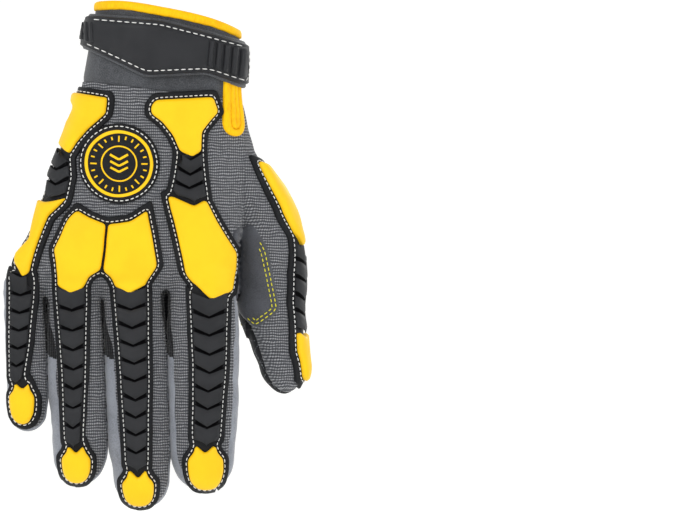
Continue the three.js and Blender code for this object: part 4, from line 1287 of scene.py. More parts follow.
def cloth_panel(name, node_names, above, below, material, seams=()):
    """One panel of cloth: its edges pull in at the seams, and it has the cloth's real thickness."""
    bm = panel_mesh(workshop().skin, above, below)
    bm.normal_update()
    moves = []
    for v in bm.verts:
        pull = 0.0
        for seam in seams:
            pull = max(pull, SEAM_PULL * math.exp(-(PANEL_TESTS[seam](v.co) / SEAM_REACH) ** 2))
        moves.append(v.normal * -pull)
    for v, move in zip(bm.verts, moves):
        v.co += move
    obj = new_object(name, bm, material)
    add_modifier(obj, "SOLIDIFY", thickness=CLOTH_WALL * MM, offset=-1.0)
    apply_modifiers(obj)
    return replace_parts(obj, *node_names)


# The suede on the inner side of the thumb, in millimetres as seen from the back
THUMB_SADDLE = [
    (33, -111), (43, -108), (50.4, -120), (53.5, -136), (56.4, -151.4), (44.5, -160.6), (36, -152.5),
    (33, -135)]


class GLOVE_OT_cloth(bpy.types.Operator):
    """Make the knit, suede and leather panels of the hand"""
    bl_idname = "glove.cloth"
    bl_label = "Cloth panels"

    def execute(self, context):
        w = workshop()
        cloth_panel("back_knit_cloth", ["back_knit", "finger_back_knit"], ("back", "slit"), ("cuff", "thumb"),
                    w.knit, ("back",))
        walls = cloth_panel("side_wall_suede", ["finger_side_walls"], (), ("cuff", "thumb", "back", "palm"),
                            w.suede, ("back", "palm"))
        self.gussets(walls, w)
        self.webs(w)
        cloth_panel("palm_leather_panel", ["palm_leather"], ("palm",), ("cuff", "thumb"), w.leather,
                    ("palm",))
        cloth_panel("thumb_knit_cloth", ["thumb_knit"], ("thumb", "slit"), ("cuff", "thumb_leather"),
                    w.thumb_knit, ("thumb_leather",))
        cloth_panel("thumb_leather_panel", ["thumb_leather"], ("thumb", "thumb_leather"), ("cuff",), w.leather,
                    ("thumb_leather",))
        self.thumb_saddle(w)
        return {"FINISHED"}

    def gussets(self, walls, w):
        """Stretch knit between the fingers' roots, suede on the rest of their sides."""
        walls.data.materials.append(w.gusset)
        low, high = (FINGERS[name].root * PALM_WIDTH - HAND_OFFSET for name in ("pinky", "index"))
        for polygon in walls.data.polygons:
            place = polygon.center / MM
            if low < place.x < high and place.z > -HAND_LENGTH - 34 - 0.5 * abs(place.y - 4):
                polygon.material_index = 1

    def webs(self, w):
        """Stretch knit that closes the space between two fingers' roots."""
        bm = bmesh.new()
        row = list(FINGERS.values())
        for first, second in zip(row, row[1:]):
            rings = []
            for k in range(9):
                z = -HAND_LENGTH - 2 - 33 * k / 8
                low = finger_section(first, z).x + 0.7 * finger_half(first, z)
                high = finger_section(second, z).x - 0.7 * finger_half(second, z)
                depth = curl_at(z) + 1.5
                rings.append([
                    bm.verts.new((low + (high - low) * t, depth + 3.5 * math.sin(math.pi * t) + 0.1 * k, z))
                    for t in (0, 0.2, 0.4, 0.6, 0.8, 1)])
            for upper, lower in zip(rings, rings[1:]):
                for i in range(5):
                    bm.faces.new((upper[i], lower[i], lower[i + 1], upper[i + 1]))
        bmesh.ops.recalc_face_normals(bm, faces=bm.faces)
        obj = new_object("finger_webs", bm, w.gusset)
        add_modifier(obj, "SOLIDIFY", thickness=1.2 * MM, offset=0.0)
        apply_modifiers(obj)

    def thumb_saddle(self, w):
        """Suede over the inner side of the thumb, with two rows of yellow stitches along its edge."""
        outline = softened(THUMB_SADDLE, 3)
        bm = bmesh.new()
        plate(bm, w.front, outline, lambda d: 0.25 + 0.7 * smooth_step(-0.2, 0.8, d), -0.3, step=2.0)
        bmesh.ops.recalc_face_normals(bm, faces=bm.faces)
        new_object("thumb_saddle_suede", bm, w.dark_suede)
        thread = bmesh.new()
        for inset in (1.6, 3.4):
            path = [p for p in grown(outline, -inset) if p[0] > 46 or (p[1] < -154 and p[0] > 39)]
            start = max(range(len(path)), key=lambda i: math.dist(path[i - 1], path[i]))
            path = path[start:] + path[:start]
            stitch_line(thread, w.front, path, 1.0, pitch=YELLOW_STITCH_PITCH)
        new_object("thumb_saddle_stitches", thread, w.yellow_thread)


class GLOVE_OT_cuff(bpy.types.Operator):
    """Make the neoprene cuff with its edge and slit bindings"""
    bl_idname = "glove.cuff"
    bl_label = "Cuff"

    def execute(self, context):
        w = workshop()
        cloth_panel(
            "neoprene_cuff", ["cuff"], ("cuff", "edge", "slit"), (), w.neoprene, ("cuff",))
        self.edge_binding(w)
        self.slit_binding(w)
        return {"FINISHED"}

    def edge_binding(self, w):
        # Out from the cloth's face and up from the edge, in millimetres, from the inner side over the top
        profile = [(-2.3, -4.8), (-3.1, -4.2), (-3.25, -2.5), (-2.7, -1.0), (-1.5, -0.3), (-0.2, -0.35),
                   (0.8, -0.9), (1.25, -2.2), (1.3, -3.7), (1.15, -4.6), (0.3, -4.9)]
        bm = bmesh.new()
        rings = []
        count = 150
        for i in range(count):
            angle = 2 * math.pi * i / count
            c, s = math.cos(angle), math.sin(angle)
            z = 0.0
            for _ in range(3):
                section = hand_section(z)
                x = section.x + section.a * math.copysign(abs(c) ** (2 / HAND_SQUARENESS), c)
                y = section.y + section.b * math.copysign(abs(s) ** (2 / HAND_SQUARENESS), s)
                z = cuff_edge_at(x)
            out = Vector((
                math.copysign(abs((x - section.x) / section.a) ** 1.6, c) / section.a,
                math.copysign(abs((y - section.y) / section.b) ** 1.6, s) / section.b, 0)).normalized()
            puff = 1 + 0.10 * noise.noise(Vector((x / 5, y / 5, 3)))
            rings.append([
                bm.verts.new(Vector((x, y, z)) + out * across * puff + Vector((0, 0, up * puff)))
                for across, up in profile])
        for i in range(count):
            first, second = rings[i], rings[(i + 1) % count]
            for k in range(len(profile)):
                n = (k + 1) % len(profile)
                bm.faces.new((first[k], second[k], second[n], first[n]))
        bmesh.ops.recalc_face_normals(bm, faces=bm.faces)
        obj = new_object("cuff_edge_tape", bm, w.tape)
        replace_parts(obj, "cuff_binding")

    def slit_binding(self, w):
        sight = Sight(w.skin, SLIT_TURN)
        top = -CUFF_HEIGHT * SLIT_TOP + 4
        low = -CUFF_HEIGHT * SLIT_TOP - SLIT_LENGTH - 2.5
        bm = bmesh.new()
        for radius, width, height in ((4.9, 3.6, 1.7), (1.5, 3.3, 1.2)):
            path = [(-radius, top - k * 2) for k in range(int((top - low) / 2))]
            path += [(-radius * math.cos(a), low - radius * math.sin(a))
                     for a in (math.pi * k / 10 for k in range(11))]
            path += [(radius, top - k * 2) for k in reversed(range(int((top - low) / 2)))]
            band(bm, sight, evenly(path, 1.2, False), width, 0.0, height)
        bmesh.ops.recalc_face_normals(bm, faces=bm.faces)
        obj = new_object("slit_tape", bm, w.tape)
        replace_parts(obj, "slit_binding")


STRAP_ROWS = [
    (-0.648, 0.369), (-0.606, 0.143), (-0.549, 0.071), (-0.486, 0.083), (-0.028, 0.143), (0.261, 0.274),
    (0.535, 0.417), (0.57, 0.488), (0.57, 0.631), (0.535, 0.976), (0.275, 0.798), (-0.148, 0.833),
    (-0.542, 0.5), (-0.613, 0.476)]
STRAP_OUTLINE = [(across * WRIST_WIDTH, -down * CUFF_HEIGHT) for across, down in STRAP_ROWS]


class GLOVE_OT_strap(bpy.types.Operator):
    """Make the closure strap over the back of the wrist, with its stitches and moulded ribs"""
    bl_idname = "glove.strap"
    bl_label = "Closure strap"

    def execute(self, context):
        w = workshop()
        tape = bmesh.new()
        plate(tape, w.front, softened(STRAP_OUTLINE, 3), self.tape_height, 0.8, step=3)
        tape_obj = new_object("strap_backing", tape, w.neoprene)
        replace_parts(tape_obj, "strap_tape")
        cover = bmesh.new()
        inner = softened(grown(STRAP_OUTLINE, -1.1), 3)
        plate(cover, w.front, inner, self.cover_height, 2.9, step=1.8,
              steps_in=(0.35, 0.8, 1.5, 2.2, 3.0, 3.8))
        for x, top, low in self.ribs(inner):
            band(cover, w.front, evenly([(x + 0.5, top), (x - 0.5, low)], 1.2, False), 2.0, 5.0, 1.9)
        for x, top, low in self.grooves(inner):
            band(cover, w.front, evenly([(x, top), (x, low)], 1.2, False), 1.3, 5.0, 0.9)
        bmesh.ops.recalc_face_normals(cover, faces=cover.faces)
        cover_obj = new_object("strap_rubber", cover, w.rubber_black)
        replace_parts(cover_obj, "strap_cover")
        thread = bmesh.new()
        stitch_line(thread, w.front, grown(inner, -2.0), 4.75, closed=True, pitch=3.3)
        new_object("strap_stitches", thread, w.white_thread)
        return {"FINISHED"}

    @staticmethod
    def tape_height(d):
        return 2.6 + 0.5 * smooth_step(0, 0.8, d)

    @staticmethod
    def cover_height(d):
        """A rounded edge, a shallow channel for the thread and a raised field."""
        rim = 1.7 * smooth_step(-0.3, 0.9, d)
        channel = -0.35 * smooth_step(1.1, 1.7, d) * (1 - smooth_step(2.3, 3.0, d))
        return 3.0 + rim + channel + 0.55 * smooth_step(2.6, 3.6, d)

    @staticmethod
    def span(outline, x, inset):
        ys = []
        for a, b in zip(outline, outline[1:] + outline[:1]):
            if (a[0] - x) * (b[0] - x) < 0:
                ys.append(a[1] + (b[1] - a[1]) * (x - a[0]) / (b[0] - a[0]))
        return max(ys) - inset, min(ys) + inset

    def ribs(self, outline):
        return [(x, *self.span(outline, x, 3.4)) for x in (0.29 * WRIST_WIDTH + 3.2 * i for i in range(5))]

    def grooves(self, outline):
        return [(x, *self.span(outline, x, 3.6)) for x in (-0.53 * WRIST_WIDTH + 2.1 * i for i in range(3))]


def chevron_strip(bm, sight, outline, count):
    """Adds a rubber strip cut across by V-shaped grooves, with its mesh's rows along the grooves and painted
    shade on the grooves' faces.
    """
    groove = sizes().chevron_groove / MM
    zs = [p[1] for p in outline]

    def sides(z):
        xs = []
        for a, b in zip(outline, outline[1:] + outline[:1]):
            if (a[1] - z) * (b[1] - z) <= 0 and a[1] != b[1]:
                xs.append(a[0] + (b[0] - a[0]) * (z - a[1]) / (b[1] - a[1]))
        return (min(xs), max(xs)) if len(xs) > 1 else None

    middle = sides((max(zs) + min(zs)) / 2)
    half = (middle[1] - middle[0]) / 2
    rise = CHEVRON_DROP * half * 1.15
    top, low = max(zs) - rise * 0.9, min(zs)
    pitch = (top - low) / (count + 1)
    gap = 2.5
    # Each row of the mesh: its height, how far it lies from its groove's middle, and how high it stands
    rows = [(top, 0, 1.0)]
    for i in range(1, count + 1):
        z = top - pitch * i
        rows += [(z, gap * 0.5, 1.0), (z, gap * 0.34, 0.1), (z, -gap * 0.28, 0.0), (z, -gap * 0.42, 0.9)]
        rows += [(z, -gap * 0.42 - (pitch - gap * 0.92) * t, 0.9 + 0.1 * t) for t in (0.33, 0.66)]
    rows += [(low + 0.3, 0, 1.0), (low, 0, 0.75)]
    columns = [-1, -0.93, -0.8, -0.6, -0.4, -0.2, 0, 0.2, 0.4, 0.6, 0.8, 0.93, 1]
    grid, feet = [], []
    for z, away, level in rows:
        line = []
        for u in columns:
            # Grooves are narrow at their point and wide at the strip's edges
            narrow = (0.55 + 0.45 * abs(u)) if abs(away) <= gap * 0.5 else 1.0
            lifted = z + away * narrow + rise * abs(u)
            ends = sides(min(max(lifted, min(zs) + 0.05), max(zs) - 0.05)) or sides((max(zs) + min(zs)) / 2)
            across = ends[0] + (ends[1] - ends[0]) * (u + 1) / 2
            edge = smooth_step(1.0, 0.88, abs(u))
            height = STRIP_TOP - 0.6 + 0.6 * edge - groove * (1 - level)
            line.append((across, min(max(lifted, low), max(zs) + 0.5), height))
        grid.append([bm.verts.new(sight.lay(*p)) for p in line])
        feet.append([bm.verts.new(sight.lay(p[0], p[1], 1.2)) for p in (line[0], line[-1])])
    for j in range(len(grid) - 1):
        for i in range(len(columns) - 1):
            face = bm.faces.new((grid[j][i], grid[j + 1][i], grid[j + 1][i + 1], grid[j][i + 1]))
            # Faces of the grooves' walls and floors take the second material, which is painted shade
            face.material_index = 1 if min(rows[j][2], rows[j + 1][2]) < 0.2 else 0
        bm.faces.new((feet[j][0], feet[j + 1][0], grid[j + 1][0], grid[j][0]))
        bm.faces.new((grid[j][-1], grid[j + 1][-1], feet[j + 1][1], feet[j][1]))


def pad_height(d):
    """A moulded pad's height by the distance from its edge: a soft bevel and a slightly crowned top."""
    bevel = sizes().pad_bevel / MM
    lip = PAD_TOP - 1.5
    return lip + 1.3 * math.sin(min(d / bevel, 1) * math.pi / 2) + 0.2 * smooth_step(bevel, bevel * 5, d)


def flange_height(d):
    return 1.15 + 0.6 * math.sin(min(d / 0.6, 1) * math.pi / 2)


class GLOVE_OT_guards(bpy.types.Operator):
    """Make the guards of the back: flanges, pads, chevron strips, fingertip caps and their stitches"""
    bl_idname = "glove.guards"
    bl_label = "Knuckle and finger guards"

    def execute(self, context):
        w = workshop()
        thumb = Sight(w.skin, THUMB_GUARD_TURN, THUMB_PIVOT, centre=thumb_section)
        self.guard(
            "guard_base_pinky", w.pinky_side, ["pinky_wrist", "pinky_knuckle"], ["pinky_wrist"], ["pinky"])
        self.guard(
            "guard_base_ring_middle", w.front, ["ring_knuckle", "middle_knuckle"], [], ["ring", "middle"])
        self.guard("guard_base_index", w.front, ["index_wrist", "index_knuckle"], ["index_wrist"], ["index"])
        self.thumb_guard(thumb)
        return {"FINISHED"}

    def guard(self, name, sight, pads, strips, fingers):
        w = workshop()

        def seen(outline):
            return outline if sight is w.front else w.front.carried(outline, sight)

        shapes = []
        for key in pads:
            shapes.append(seen(HAND_PADS[key]))
            self.pad(f"pad_{key}", sight, shapes[-1])
        for key in strips:
            count, outline = HAND_STRIPS[key]
            shapes.append(seen(outline))
            self.strip(f"strip_{key}", sight, shapes[-1], count)
        for key in fingers:
            guard, finger = FINGER_GUARDS[key], FINGERS[key]
            length = finger.length * (guard.cap_at - guard.start)
            count = round(length / (sizes().chevron_pitch / MM)) - 1
            strip, cap = seen(strip_outline(key)), seen(cap_outline(key))
            shapes += [strip, cap]
            self.strip(f"strip_{key}", sight, strip, count)
            self.pad(f"cap_{key}", sight, cap)
        self.flange(name, sight, shapes)

    def thumb_guard(self, sight):
        pad, strip, cap = on_thumb(THUMB_PAD), on_thumb(THUMB_STRIP), on_thumb(THUMB_CAP)
        self.pad("pad_thumb", sight, pad)
        self.strip("strip_thumb", sight, strip, 4)
        self.pad("cap_thumb", sight, cap)
        self.flange("guard_base_thumb", sight, [pad, strip, cap])

    def pad(self, node, sight, outline):
        bm = bmesh.new()
        plate(bm, sight, softened(grown(outline, -0.2), 1.6), pad_height, PAD_BASE - 0.3, step=1.9)
        bmesh.ops.recalc_face_normals(bm, faces=bm.faces)
        obj = new_object(f"{node}_rubber", bm, workshop().rubber_yellow)
        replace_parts(obj, node)

    def strip(self, node, sight, outline, count):
        bm = bmesh.new()
        chevron_strip(bm, sight, counter_clockwise(outline), count)
        bmesh.ops.recalc_face_normals(bm, faces=bm.faces)
        obj = new_object(f"{node}_rubber", bm, workshop().rubber_black)
        # Second material: near-black painted shade on the grooves' faces
        obj.data.materials.append(workshop().groove_painted_shade)
        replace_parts(obj, node)

    def flange(self, node, sight, shapes):
        w = workshop()
        whole = joined_outline([grown(shape, GUARD_JOIN) for shape in shapes])
        outer = softened(grown(whole, GUARD_BORDER - GUARD_JOIN), 2.0)
        bm = bmesh.new()
        plate(bm, sight, outer, flange_height, 0.0, step=2.4, steps_in=(0.3, 0.7))
        bmesh.ops.recalc_face_normals(bm, faces=bm.faces)
        obj = new_object(f"{node}_rubber", bm, w.flange_black)
        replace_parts(obj, node)
        thread = bmesh.new()
        stitch_line(thread, sight, softened(grown(whole, -1.3), 1.6), FLANGE_TOP + 0.1, closed=True)
        new_object(f"{node}_stitches", thread, w.white_thread)


BADGE_CENTRE = on_hand([(-0.153, 0.571)])[0]
BADGE_RADIUS = 20.0
BADGE_RING_RADIUS = 16.0


def circle(centre, radius, step=1.0):
    count = max(int(radius * math.radians(360) / step), 6)
    return [
        (centre[0] + radius * math.cos(a), centre[1] + radius * math.sin(a))
        for a in (math.radians(360 * i / count) for i in range(count))]


class GLOVE_OT_badge(bpy.types.Operator):
    """Make the round badge: a black rubber disc with a plain yellow ring, ticks and chevrons"""
    bl_idname = "glove.badge"
    bl_label = "Badge"

    def execute(self, context):
        w = workshop()
        bm = bmesh.new()
        plate(bm, w.front, circle(BADGE_CENTRE, BADGE_RADIUS), self.disc_height, 0.0, step=1.6,
              steps_in=(0.35, 0.8, 1.4, 2.0, 2.6))
        bmesh.ops.recalc_face_normals(bm, faces=bm.faces)
        disc = new_object("badge_disc_rubber", bm, w.flange_black)
        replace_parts(disc, "badge_disc")
        marks = bmesh.new()
        band(marks, w.front, circle(BADGE_CENTRE, BADGE_RING_RADIUS), 1.7, 1.8, 0.75, closed=True)
        band(marks, w.front, circle(BADGE_CENTRE, 8.6, 0.8), 0.8, 1.8, 0.6, closed=True)
        for i in range(24):
            a = math.radians(15 * i)
            inner, outer = (10.9, 14.0) if i % 3 == 0 else (12.2, 14.0)
            band(marks, w.front, [
                (BADGE_CENTRE[0] + r * math.cos(a), BADGE_CENTRE[1] + r * math.sin(a))
                for r in (inner, (inner + outer) / 2, outer)], 0.85, 1.8, 0.6)
        for k in range(3):
            y = BADGE_CENTRE[1] + 2.2 - 3.2 * k
            band(marks, w.front, evenly(
                [(BADGE_CENTRE[0] - 4.4, y + 2.4), (BADGE_CENTRE[0], y), (BADGE_CENTRE[0] + 4.4, y + 2.4)],
                0.9, False), 1.25, 1.8, 0.6)
        bmesh.ops.recalc_face_normals(marks, faces=marks.faces)
        ring = new_object("badge_marks", marks, w.rubber_yellow)
        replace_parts(ring, "badge_ring")
        thread = bmesh.new()
        stitch_line(thread, w.front, circle(BADGE_CENTRE, BADGE_RADIUS - 1.3), 1.85, closed=True, pitch=2.7)
        new_object("badge_stitches", thread, w.white_thread)
        return {"FINISHED"}

    @staticmethod
    def disc_height(d):
        return 1.1 + 0.7 * smooth_step(-0.2, 0.7, d) + 0.3 * smooth_step(2.0, 2.6, d)


# The palm. Outlines are shares of PALM_WIDTH across and of HAND_LENGTH down, seen through from the back.

PALM_PADS = {
    "heel_pinky": on_hand([
        (-0.525, 0.8), (-0.38, 0.785), (-0.36, 0.735), (-0.11, 0.705), (-0.075, 0.559), (-0.05, 0.37),
        (-0.24, 0.385), (-0.375, 0.44), (-0.43, 0.538), (-0.48, 0.68)]),
    "heel_thumb": on_hand([
        (0.1, 0.93), (0.25, 0.96), (0.36, 0.84), (0.34, 0.62), (0.33, 0.5), (0.24, 0.43), (0.2, 0.53),
        (0.15, 0.667)]),
    "knuckle_base": on_hand([
        (-0.27, 0.86), (-0.02, 0.9), (0.05, 0.87), (0.1, 0.66), (0.06, 0.6), (-0.05, 0.74), (-0.25, 0.77)]),
    "heel_middle": on_hand([
        (-0.02, 0.64), (0.1, 0.56), (0.19, 0.45), (0.18, 0.4), (0.02, 0.39), (-0.01, 0.5)]),
}
PALM_SLOTS = [
    on_hand([(-0.41, 0.66), (-0.4, 0.62), (-0.14, 0.57), (-0.13, 0.61)]),
    on_hand([(-0.37, 0.53), (-0.36, 0.49), (-0.12, 0.45), (-0.11, 0.49)]),
    on_hand([(0.2, 0.86), (0.3, 0.74), (0.33, 0.77), (0.23, 0.89)]),
    on_hand([(0.21, 0.7), (0.29, 0.59), (0.32, 0.62), (0.24, 0.73)]),
    on_hand([(0.03, 0.54), (0.13, 0.45), (0.15, 0.49), (0.05, 0.58)]),
]
KNUCKLE_CHANNEL = on_hand([
    (-0.513, 0.878), (-0.351, 0.853), (-0.296, 0.868), (-0.121, 0.975), (0.017, 0.98), (0.117, 0.976),
    (0.244, 1.053)])
CUFF_PANEL = [(across * WRIST_WIDTH, -down * CUFF_HEIGHT) for across, down in [
    (0.042, 0.12), (0.43, 0.22), (0.385, 1.1), (-0.1, 0.97)]]


def seen_from_palm(points):
    return [(-x, z) for x, z in points]


class GLOVE_OT_palm(bpy.types.Operator):
    """Make the palm's padded cushions, printed inlays, stitches, touch patches and cuff panel"""
    bl_idname = "glove.palm"
    bl_label = "Palm"

    def execute(self, context):
        w = workshop()
        self.thread = bmesh.new()
        self.inlay = bmesh.new()
        for name, outline in PALM_PADS.items():
            self.cushion(w, name, seen_from_palm(outline))
        for outline in PALM_SLOTS:
            stitch_line(
                self.thread, w.palm, softened(seen_from_palm(outline), 0.8), 2.0, closed=True,
                pitch=YELLOW_STITCH_PITCH)
        self.channel(w)
        self.web_stitches(w)
        for name in FINGERS:
            self.finger(w, name)
        self.thumb(w)
        self.cuff_panel(w)
        bmesh.ops.recalc_face_normals(self.inlay, faces=self.inlay.faces)
        new_object("palm_inlays", self.inlay, w.zigzag)
        new_object("palm_stitches", self.thread, w.yellow_thread)
        return {"FINISHED"}

    def cushion(self, w, name, outline):
        bm = bmesh.new()
        soft = softened(outline, 3.5)
        plate(bm, w.palm, soft, lambda d: 0.1 + 1.75 * smooth_step(-0.4, 4.5, d), -0.6, step=1.9,
              steps_in=(0.5, 1.2, 2.2, 3.4))
        bmesh.ops.recalc_face_normals(bm, faces=bm.faces)
        obj = new_object(f"palm_cushion_{name}", bm, w.leather)
        stitch_line(self.thread, w.palm, grown(soft, -0.8), 0.62, closed=True, pitch=YELLOW_STITCH_PITCH)

    def channel(self, w):
        path = evenly(seen_from_palm(KNUCKLE_CHANNEL), 1.5, False)
        band(self.inlay, w.palm, path, 3.6, -0.1, 0.5)
        for offset in (-3.1, 3.1, 4.6):
            moved = []
            for i, p in enumerate(path):
                a, b = Vector(path[max(i - 1, 0)]), Vector(path[min(i + 1, len(path) - 1)])
                along = (b - a).normalized()
                moved.append((p[0] - along.y * offset, p[1] + along.x * offset))
            stitch_line(self.thread, w.palm, moved, SLOT_STITCH, pitch=YELLOW_STITCH_PITCH)

    def web_stitches(self, w):
        """Two rows of yellow thread from each web between the fingers up to the channel."""
        row = list(FINGERS.values())
        channel = sorted(KNUCKLE_CHANNEL)
        for first, second in zip(row, row[1:]):
            lines = ([], [])
            for k in range(12):
                z = -HAND_LENGTH - 19 + 2.5 * k
                low = finger_section(first, min(z, -HAND_LENGTH - 4))
                high = finger_section(second, min(z, -HAND_LENGTH - 4))
                middle = (low.x + low.a + high.x - high.a) / 2
                bound = next(
                    (a[1] + (b[1] - a[1]) * (middle - a[0]) / (b[0] - a[0])
                     for a, b in zip(channel, channel[1:]) if a[0] <= middle <= b[0]), -HAND_LENGTH)
                if z < bound - 5.5:
                    spread = 1.3 + 1.4 * smooth_step(-HAND_LENGTH, -HAND_LENGTH - 14, z)
                    lines[0].append((-middle + spread, z))
                    lines[1].append((-middle - spread, z))
            for line in lines:
                stitch_line(self.thread, w.palm, evenly(line, 1.3, False), 0.3, pitch=YELLOW_STITCH_PITCH)

    def finger(self, w, name):
        finger = FINGERS[name]
        places = {"pinky": (0.27, 0.53, 0.76), "ring": (0.22, 0.5, 0.75), "middle": (0.24, 0.5, 0.75),
                  "index": (0.2, 0.45, 0.68)}[name]
        slope = {"pinky": -0.03, "ring": -0.05, "middle": -0.05, "index": 0.05}[name]
        for along in places:
            size = 5.0 / finger.length / 2
            box = on_finger(finger, [
                (-0.62, along - size - slope * 0.5), (0.62, along - size + slope * 0.5),
                (0.62, along + size + slope * 0.5), (-0.62, along + size - slope * 0.5)])
            box = seen_from_palm(box)
            stitch_line(
                self.thread, w.palm, softened(box, 0.8), SLOT_STITCH, closed=True, pitch=SLOT_STITCH_PITCH)
            middle = [tuple((Vector(box[i]) + Vector(box[j])) / 2) for i, j in ((0, 3), (1, 2))]
            start, end = Vector(middle[0]), Vector(middle[1])
            slot = evenly([start.lerp(end, 0.14), start.lerp(end, 0.86)], 1.3, False)
            band(self.inlay, w.palm, slot, 2.0, -0.1, 0.55)
        if name == "index":
            patch = seen_from_palm(on_finger(finger, [
                (-0.72, 0.74), (0.72, 0.78), (0.72, 0.86), (0.5, 0.94), (0, 0.975), (-0.5, 0.94),
                (-0.72, 0.86)]))
            self.touch_patch(w, "index_tip_patch", w.palm, patch)

    def touch_patch(self, w, node, sight, outline):
        bm = bmesh.new()
        soft = softened(outline, 2.5)
        plate(bm, sight, soft, lambda d: 0.35 + 0.75 * smooth_step(-0.2, 0.9, d), 0.0, step=2.0)
        bmesh.ops.recalc_face_normals(bm, faces=bm.faces)
        obj = new_object(f"{node}_leather", bm, w.plain_leather)
        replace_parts(obj, node)
        for inset in (1.2, 2.6):
            low, high = outline[0], outline[1]
            path = [(low[0], low[1] - inset), (high[0], high[1] - inset)]
            stitch_line(self.thread, sight, path, 1.1, pitch=2.2)

    def thumb(self, w):
        sight = Sight(w.skin, THUMB_LEATHER_TURN, THUMB_PIVOT, centre=thumb_section)
        patch = on_thumb([
            (-0.28, 0.74), (0.28, 0.74), (0.26, 0.86), (0.14, 0.93), (-0.14, 0.93), (-0.26, 0.86)],
            THUMB_LEATHER_TURN)
        self.touch_patch(w, "thumb_tip_patch", sight, patch)
        box = on_thumb([(-0.22, 0.53), (0.22, 0.56), (0.22, 0.6), (-0.22, 0.57)], THUMB_LEATHER_TURN)
        stitch_line(self.thread, sight, softened(box, 0.8), SLOT_STITCH, closed=True, pitch=SLOT_STITCH_PITCH)
        for side in (-0.34, 0.34):
            path = on_thumb([(side, 0.35 + 0.06 * k) for k in range(8)], THUMB_LEATHER_TURN)
            stitch_line(self.thread, sight, path, SLOT_STITCH, pitch=YELLOW_STITCH_PITCH)

    def cuff_panel(self, w):
        bm = bmesh.new()
        outline = seen_from_palm(CUFF_PANEL)
        soft = softened(outline, 2.0)
        plate(bm, w.palm, soft, lambda d: 0.3 + 0.85 * smooth_step(-0.2, 0.8, d), 0.0, step=2.2)
        bmesh.ops.recalc_face_normals(bm, faces=bm.faces)
        obj = new_object("cuff_pull_panel", bm, w.suede)
        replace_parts(obj, "cuff_patch")
        thread = bmesh.new()
        stitch_line(thread, w.palm, softened(grown(outline, -1.6), 1.5), 1.15, closed=True, pitch=2.8)
        new_object("cuff_panel_stitches", thread, w.lacquer)
        for node in ("snap_ring", "snap_stud"):
            material_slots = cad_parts[node].data.materials
            material_slots.clear()
            material_slots.append(w.lacquer)


# The photograph's frame in pixels, the pixel of the glove's middle line and top, and a pixel's size
PHOTO_WIDTH, PHOTO_HEIGHT = 679, 513
MIDDLE_PIXEL, TOP_PIXEL = 167, 8
PIXEL = 0.5 * MM
FLOOR_Z = -300.0


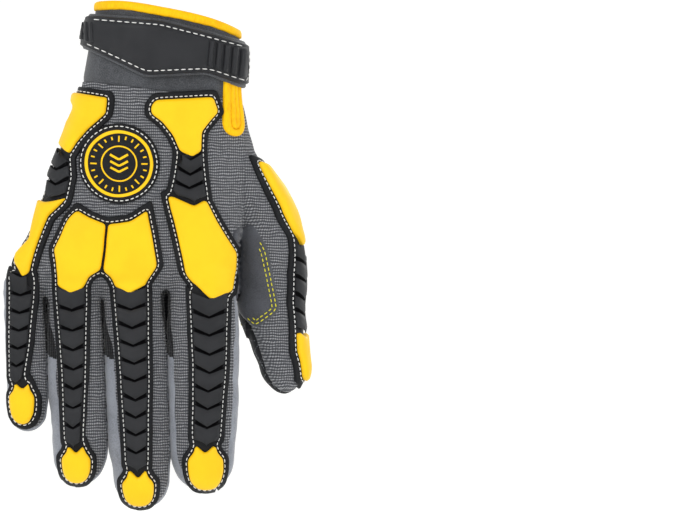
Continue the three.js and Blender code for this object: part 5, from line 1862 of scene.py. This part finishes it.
class GLOVE_OT_stage(bpy.types.Operator):
    """Make the pale floor, the soft studio lights and the camera"""
    bl_idname = "glove.stage"
    bl_label = "Stage, lights and camera"

    def execute(self, context):
        self.bowl()
        self.lights(context)
        self.camera(context)
        return {"FINISHED"}

    def bowl(self):
        bm = bmesh.new()
        rings = []
        for radius, rise in [(0, 0), (2000, 0), (6000, 0), (8500, 150), (11000, 1000), (13000, 2900),
                             (14000, 6000), (14000, 9000)]:
            rings.append([
                bm.verts.new((radius * math.cos(a), radius * math.sin(a), FLOOR_Z + rise))
                for a in (2 * math.pi * k / 64 for k in range(64))]
                if radius else [bm.verts.new((0, 0, FLOOR_Z))])
        for k in range(64):
            bm.faces.new((rings[0][0], rings[1][k], rings[1][(k + 1) % 64]))
        for first, second in zip(rings[1:], rings[2:]):
            for k in range(64):
                n = (k + 1) % 64
                bm.faces.new((first[k], second[k], second[n], first[n]))
        bmesh.ops.recalc_face_normals(bm, faces=bm.faces)
        bmesh.ops.scale(bm, vec=(MM, MM, MM), verts=bm.verts)
        mesh = bpy.data.meshes.new("studio_floor")
        bm.to_mesh(mesh)
        bm.free()
        for polygon in mesh.polygons:
            polygon.use_smooth = True
        obj = bpy.data.objects.new("studio_floor", mesh)
        bpy.context.collection.objects.link(obj)
        mesh.materials.append(matt_stage("painted_floor", colours().stage_pale))

    def lights(self, context):
        world = bpy.data.worlds.new("studio_air")
        world.use_nodes = True
        background = world.node_tree.nodes["Background"]
        background.inputs["Color"].default_value = (1.0, 1.0, 1.0, 1.0)
        background.inputs["Strength"].default_value = 0.7
        context.scene.world = world
        # Plain display colours, so that the yellow keeps its strength and the stage stays near white
        context.scene.view_settings.view_transform = "Standard"
        target = Vector((0, 0, -0.13))
        for name, place, size, power in (
                ("key_light", (-0.7, -1.3, 0.75), 0.7, 7), ("fill_light", (1.3, -1.1, 0.2), 1.2, 3),
                ("back_light", (0.6, 1.5, 0.7), 1.0, 7)):
            light = bpy.data.lights.new(name, "AREA")
            light.size = size
            light.energy = power
            obj = bpy.data.objects.new(name, light)
            obj.location = place
            obj.rotation_euler = (target - Vector(place)).to_track_quat("-Z", "Y").to_euler()
            context.collection.objects.link(obj)

    def camera(self, context):
        """Level, along +Y, at the photograph's scale of half a millimetre a pixel."""
        distance = 5.0
        frame_width = PHOTO_WIDTH * PIXEL
        data = bpy.data.cameras.new("studio_camera")
        data.sensor_width = 36
        data.lens = 36 * distance / frame_width
        data.clip_end = 50
        obj = bpy.data.objects.new("studio_camera", data)
        obj.location = (
            (PHOTO_WIDTH / 2 - MIDDLE_PIXEL) * PIXEL, -distance, -(PHOTO_HEIGHT / 2 - TOP_PIXEL) * PIXEL)
        obj.rotation_euler = (math.pi / 2, 0, 0)
        context.collection.objects.link(obj)
        context.scene.camera = obj


OPERATORS = (
    GLOVE_OT_stage, GLOVE_OT_cloth, GLOVE_OT_cuff, GLOVE_OT_strap, GLOVE_OT_guards, GLOVE_OT_badge,
    GLOVE_OT_palm)


class GLOVE_PT_panel(bpy.types.Panel):
    """The glove's sizes, colours and pieces"""
    bl_idname = "GLOVE_PT_panel"
    bl_label = "Padded work glove"
    bl_space_type = "VIEW_3D"
    bl_region_type = "UI"
    bl_category = "Glove"

    def draw(self, context):
        column = self.layout.column()
        for group in (context.scene.glove_sizes, context.scene.glove_colours):
            for key in group.bl_rna.properties.keys():
                if key not in ("rna_type", "name"):
                    column.prop(group, key)
        for operator in OPERATORS:
            column.operator(operator.bl_idname)


CLASSES = (GloveSizes, GloveColours, *OPERATORS, GLOVE_PT_panel)


def register():
    for cls in CLASSES:
        bpy.utils.register_class(cls)
    bpy.types.Scene.glove_sizes = PointerProperty(type=GloveSizes)
    bpy.types.Scene.glove_colours = PointerProperty(type=GloveColours)


def unregister():
    del bpy.types.Scene.glove_colours
    del bpy.types.Scene.glove_sizes
    for cls in reversed(CLASSES):
        bpy.utils.unregister_class(cls)


def main():
    register()
    for operator in OPERATORS:
        group, name = operator.bl_idname.split(".")
        getattr(getattr(bpy.ops, group), name)()


if __name__ == "__main__":
    main()
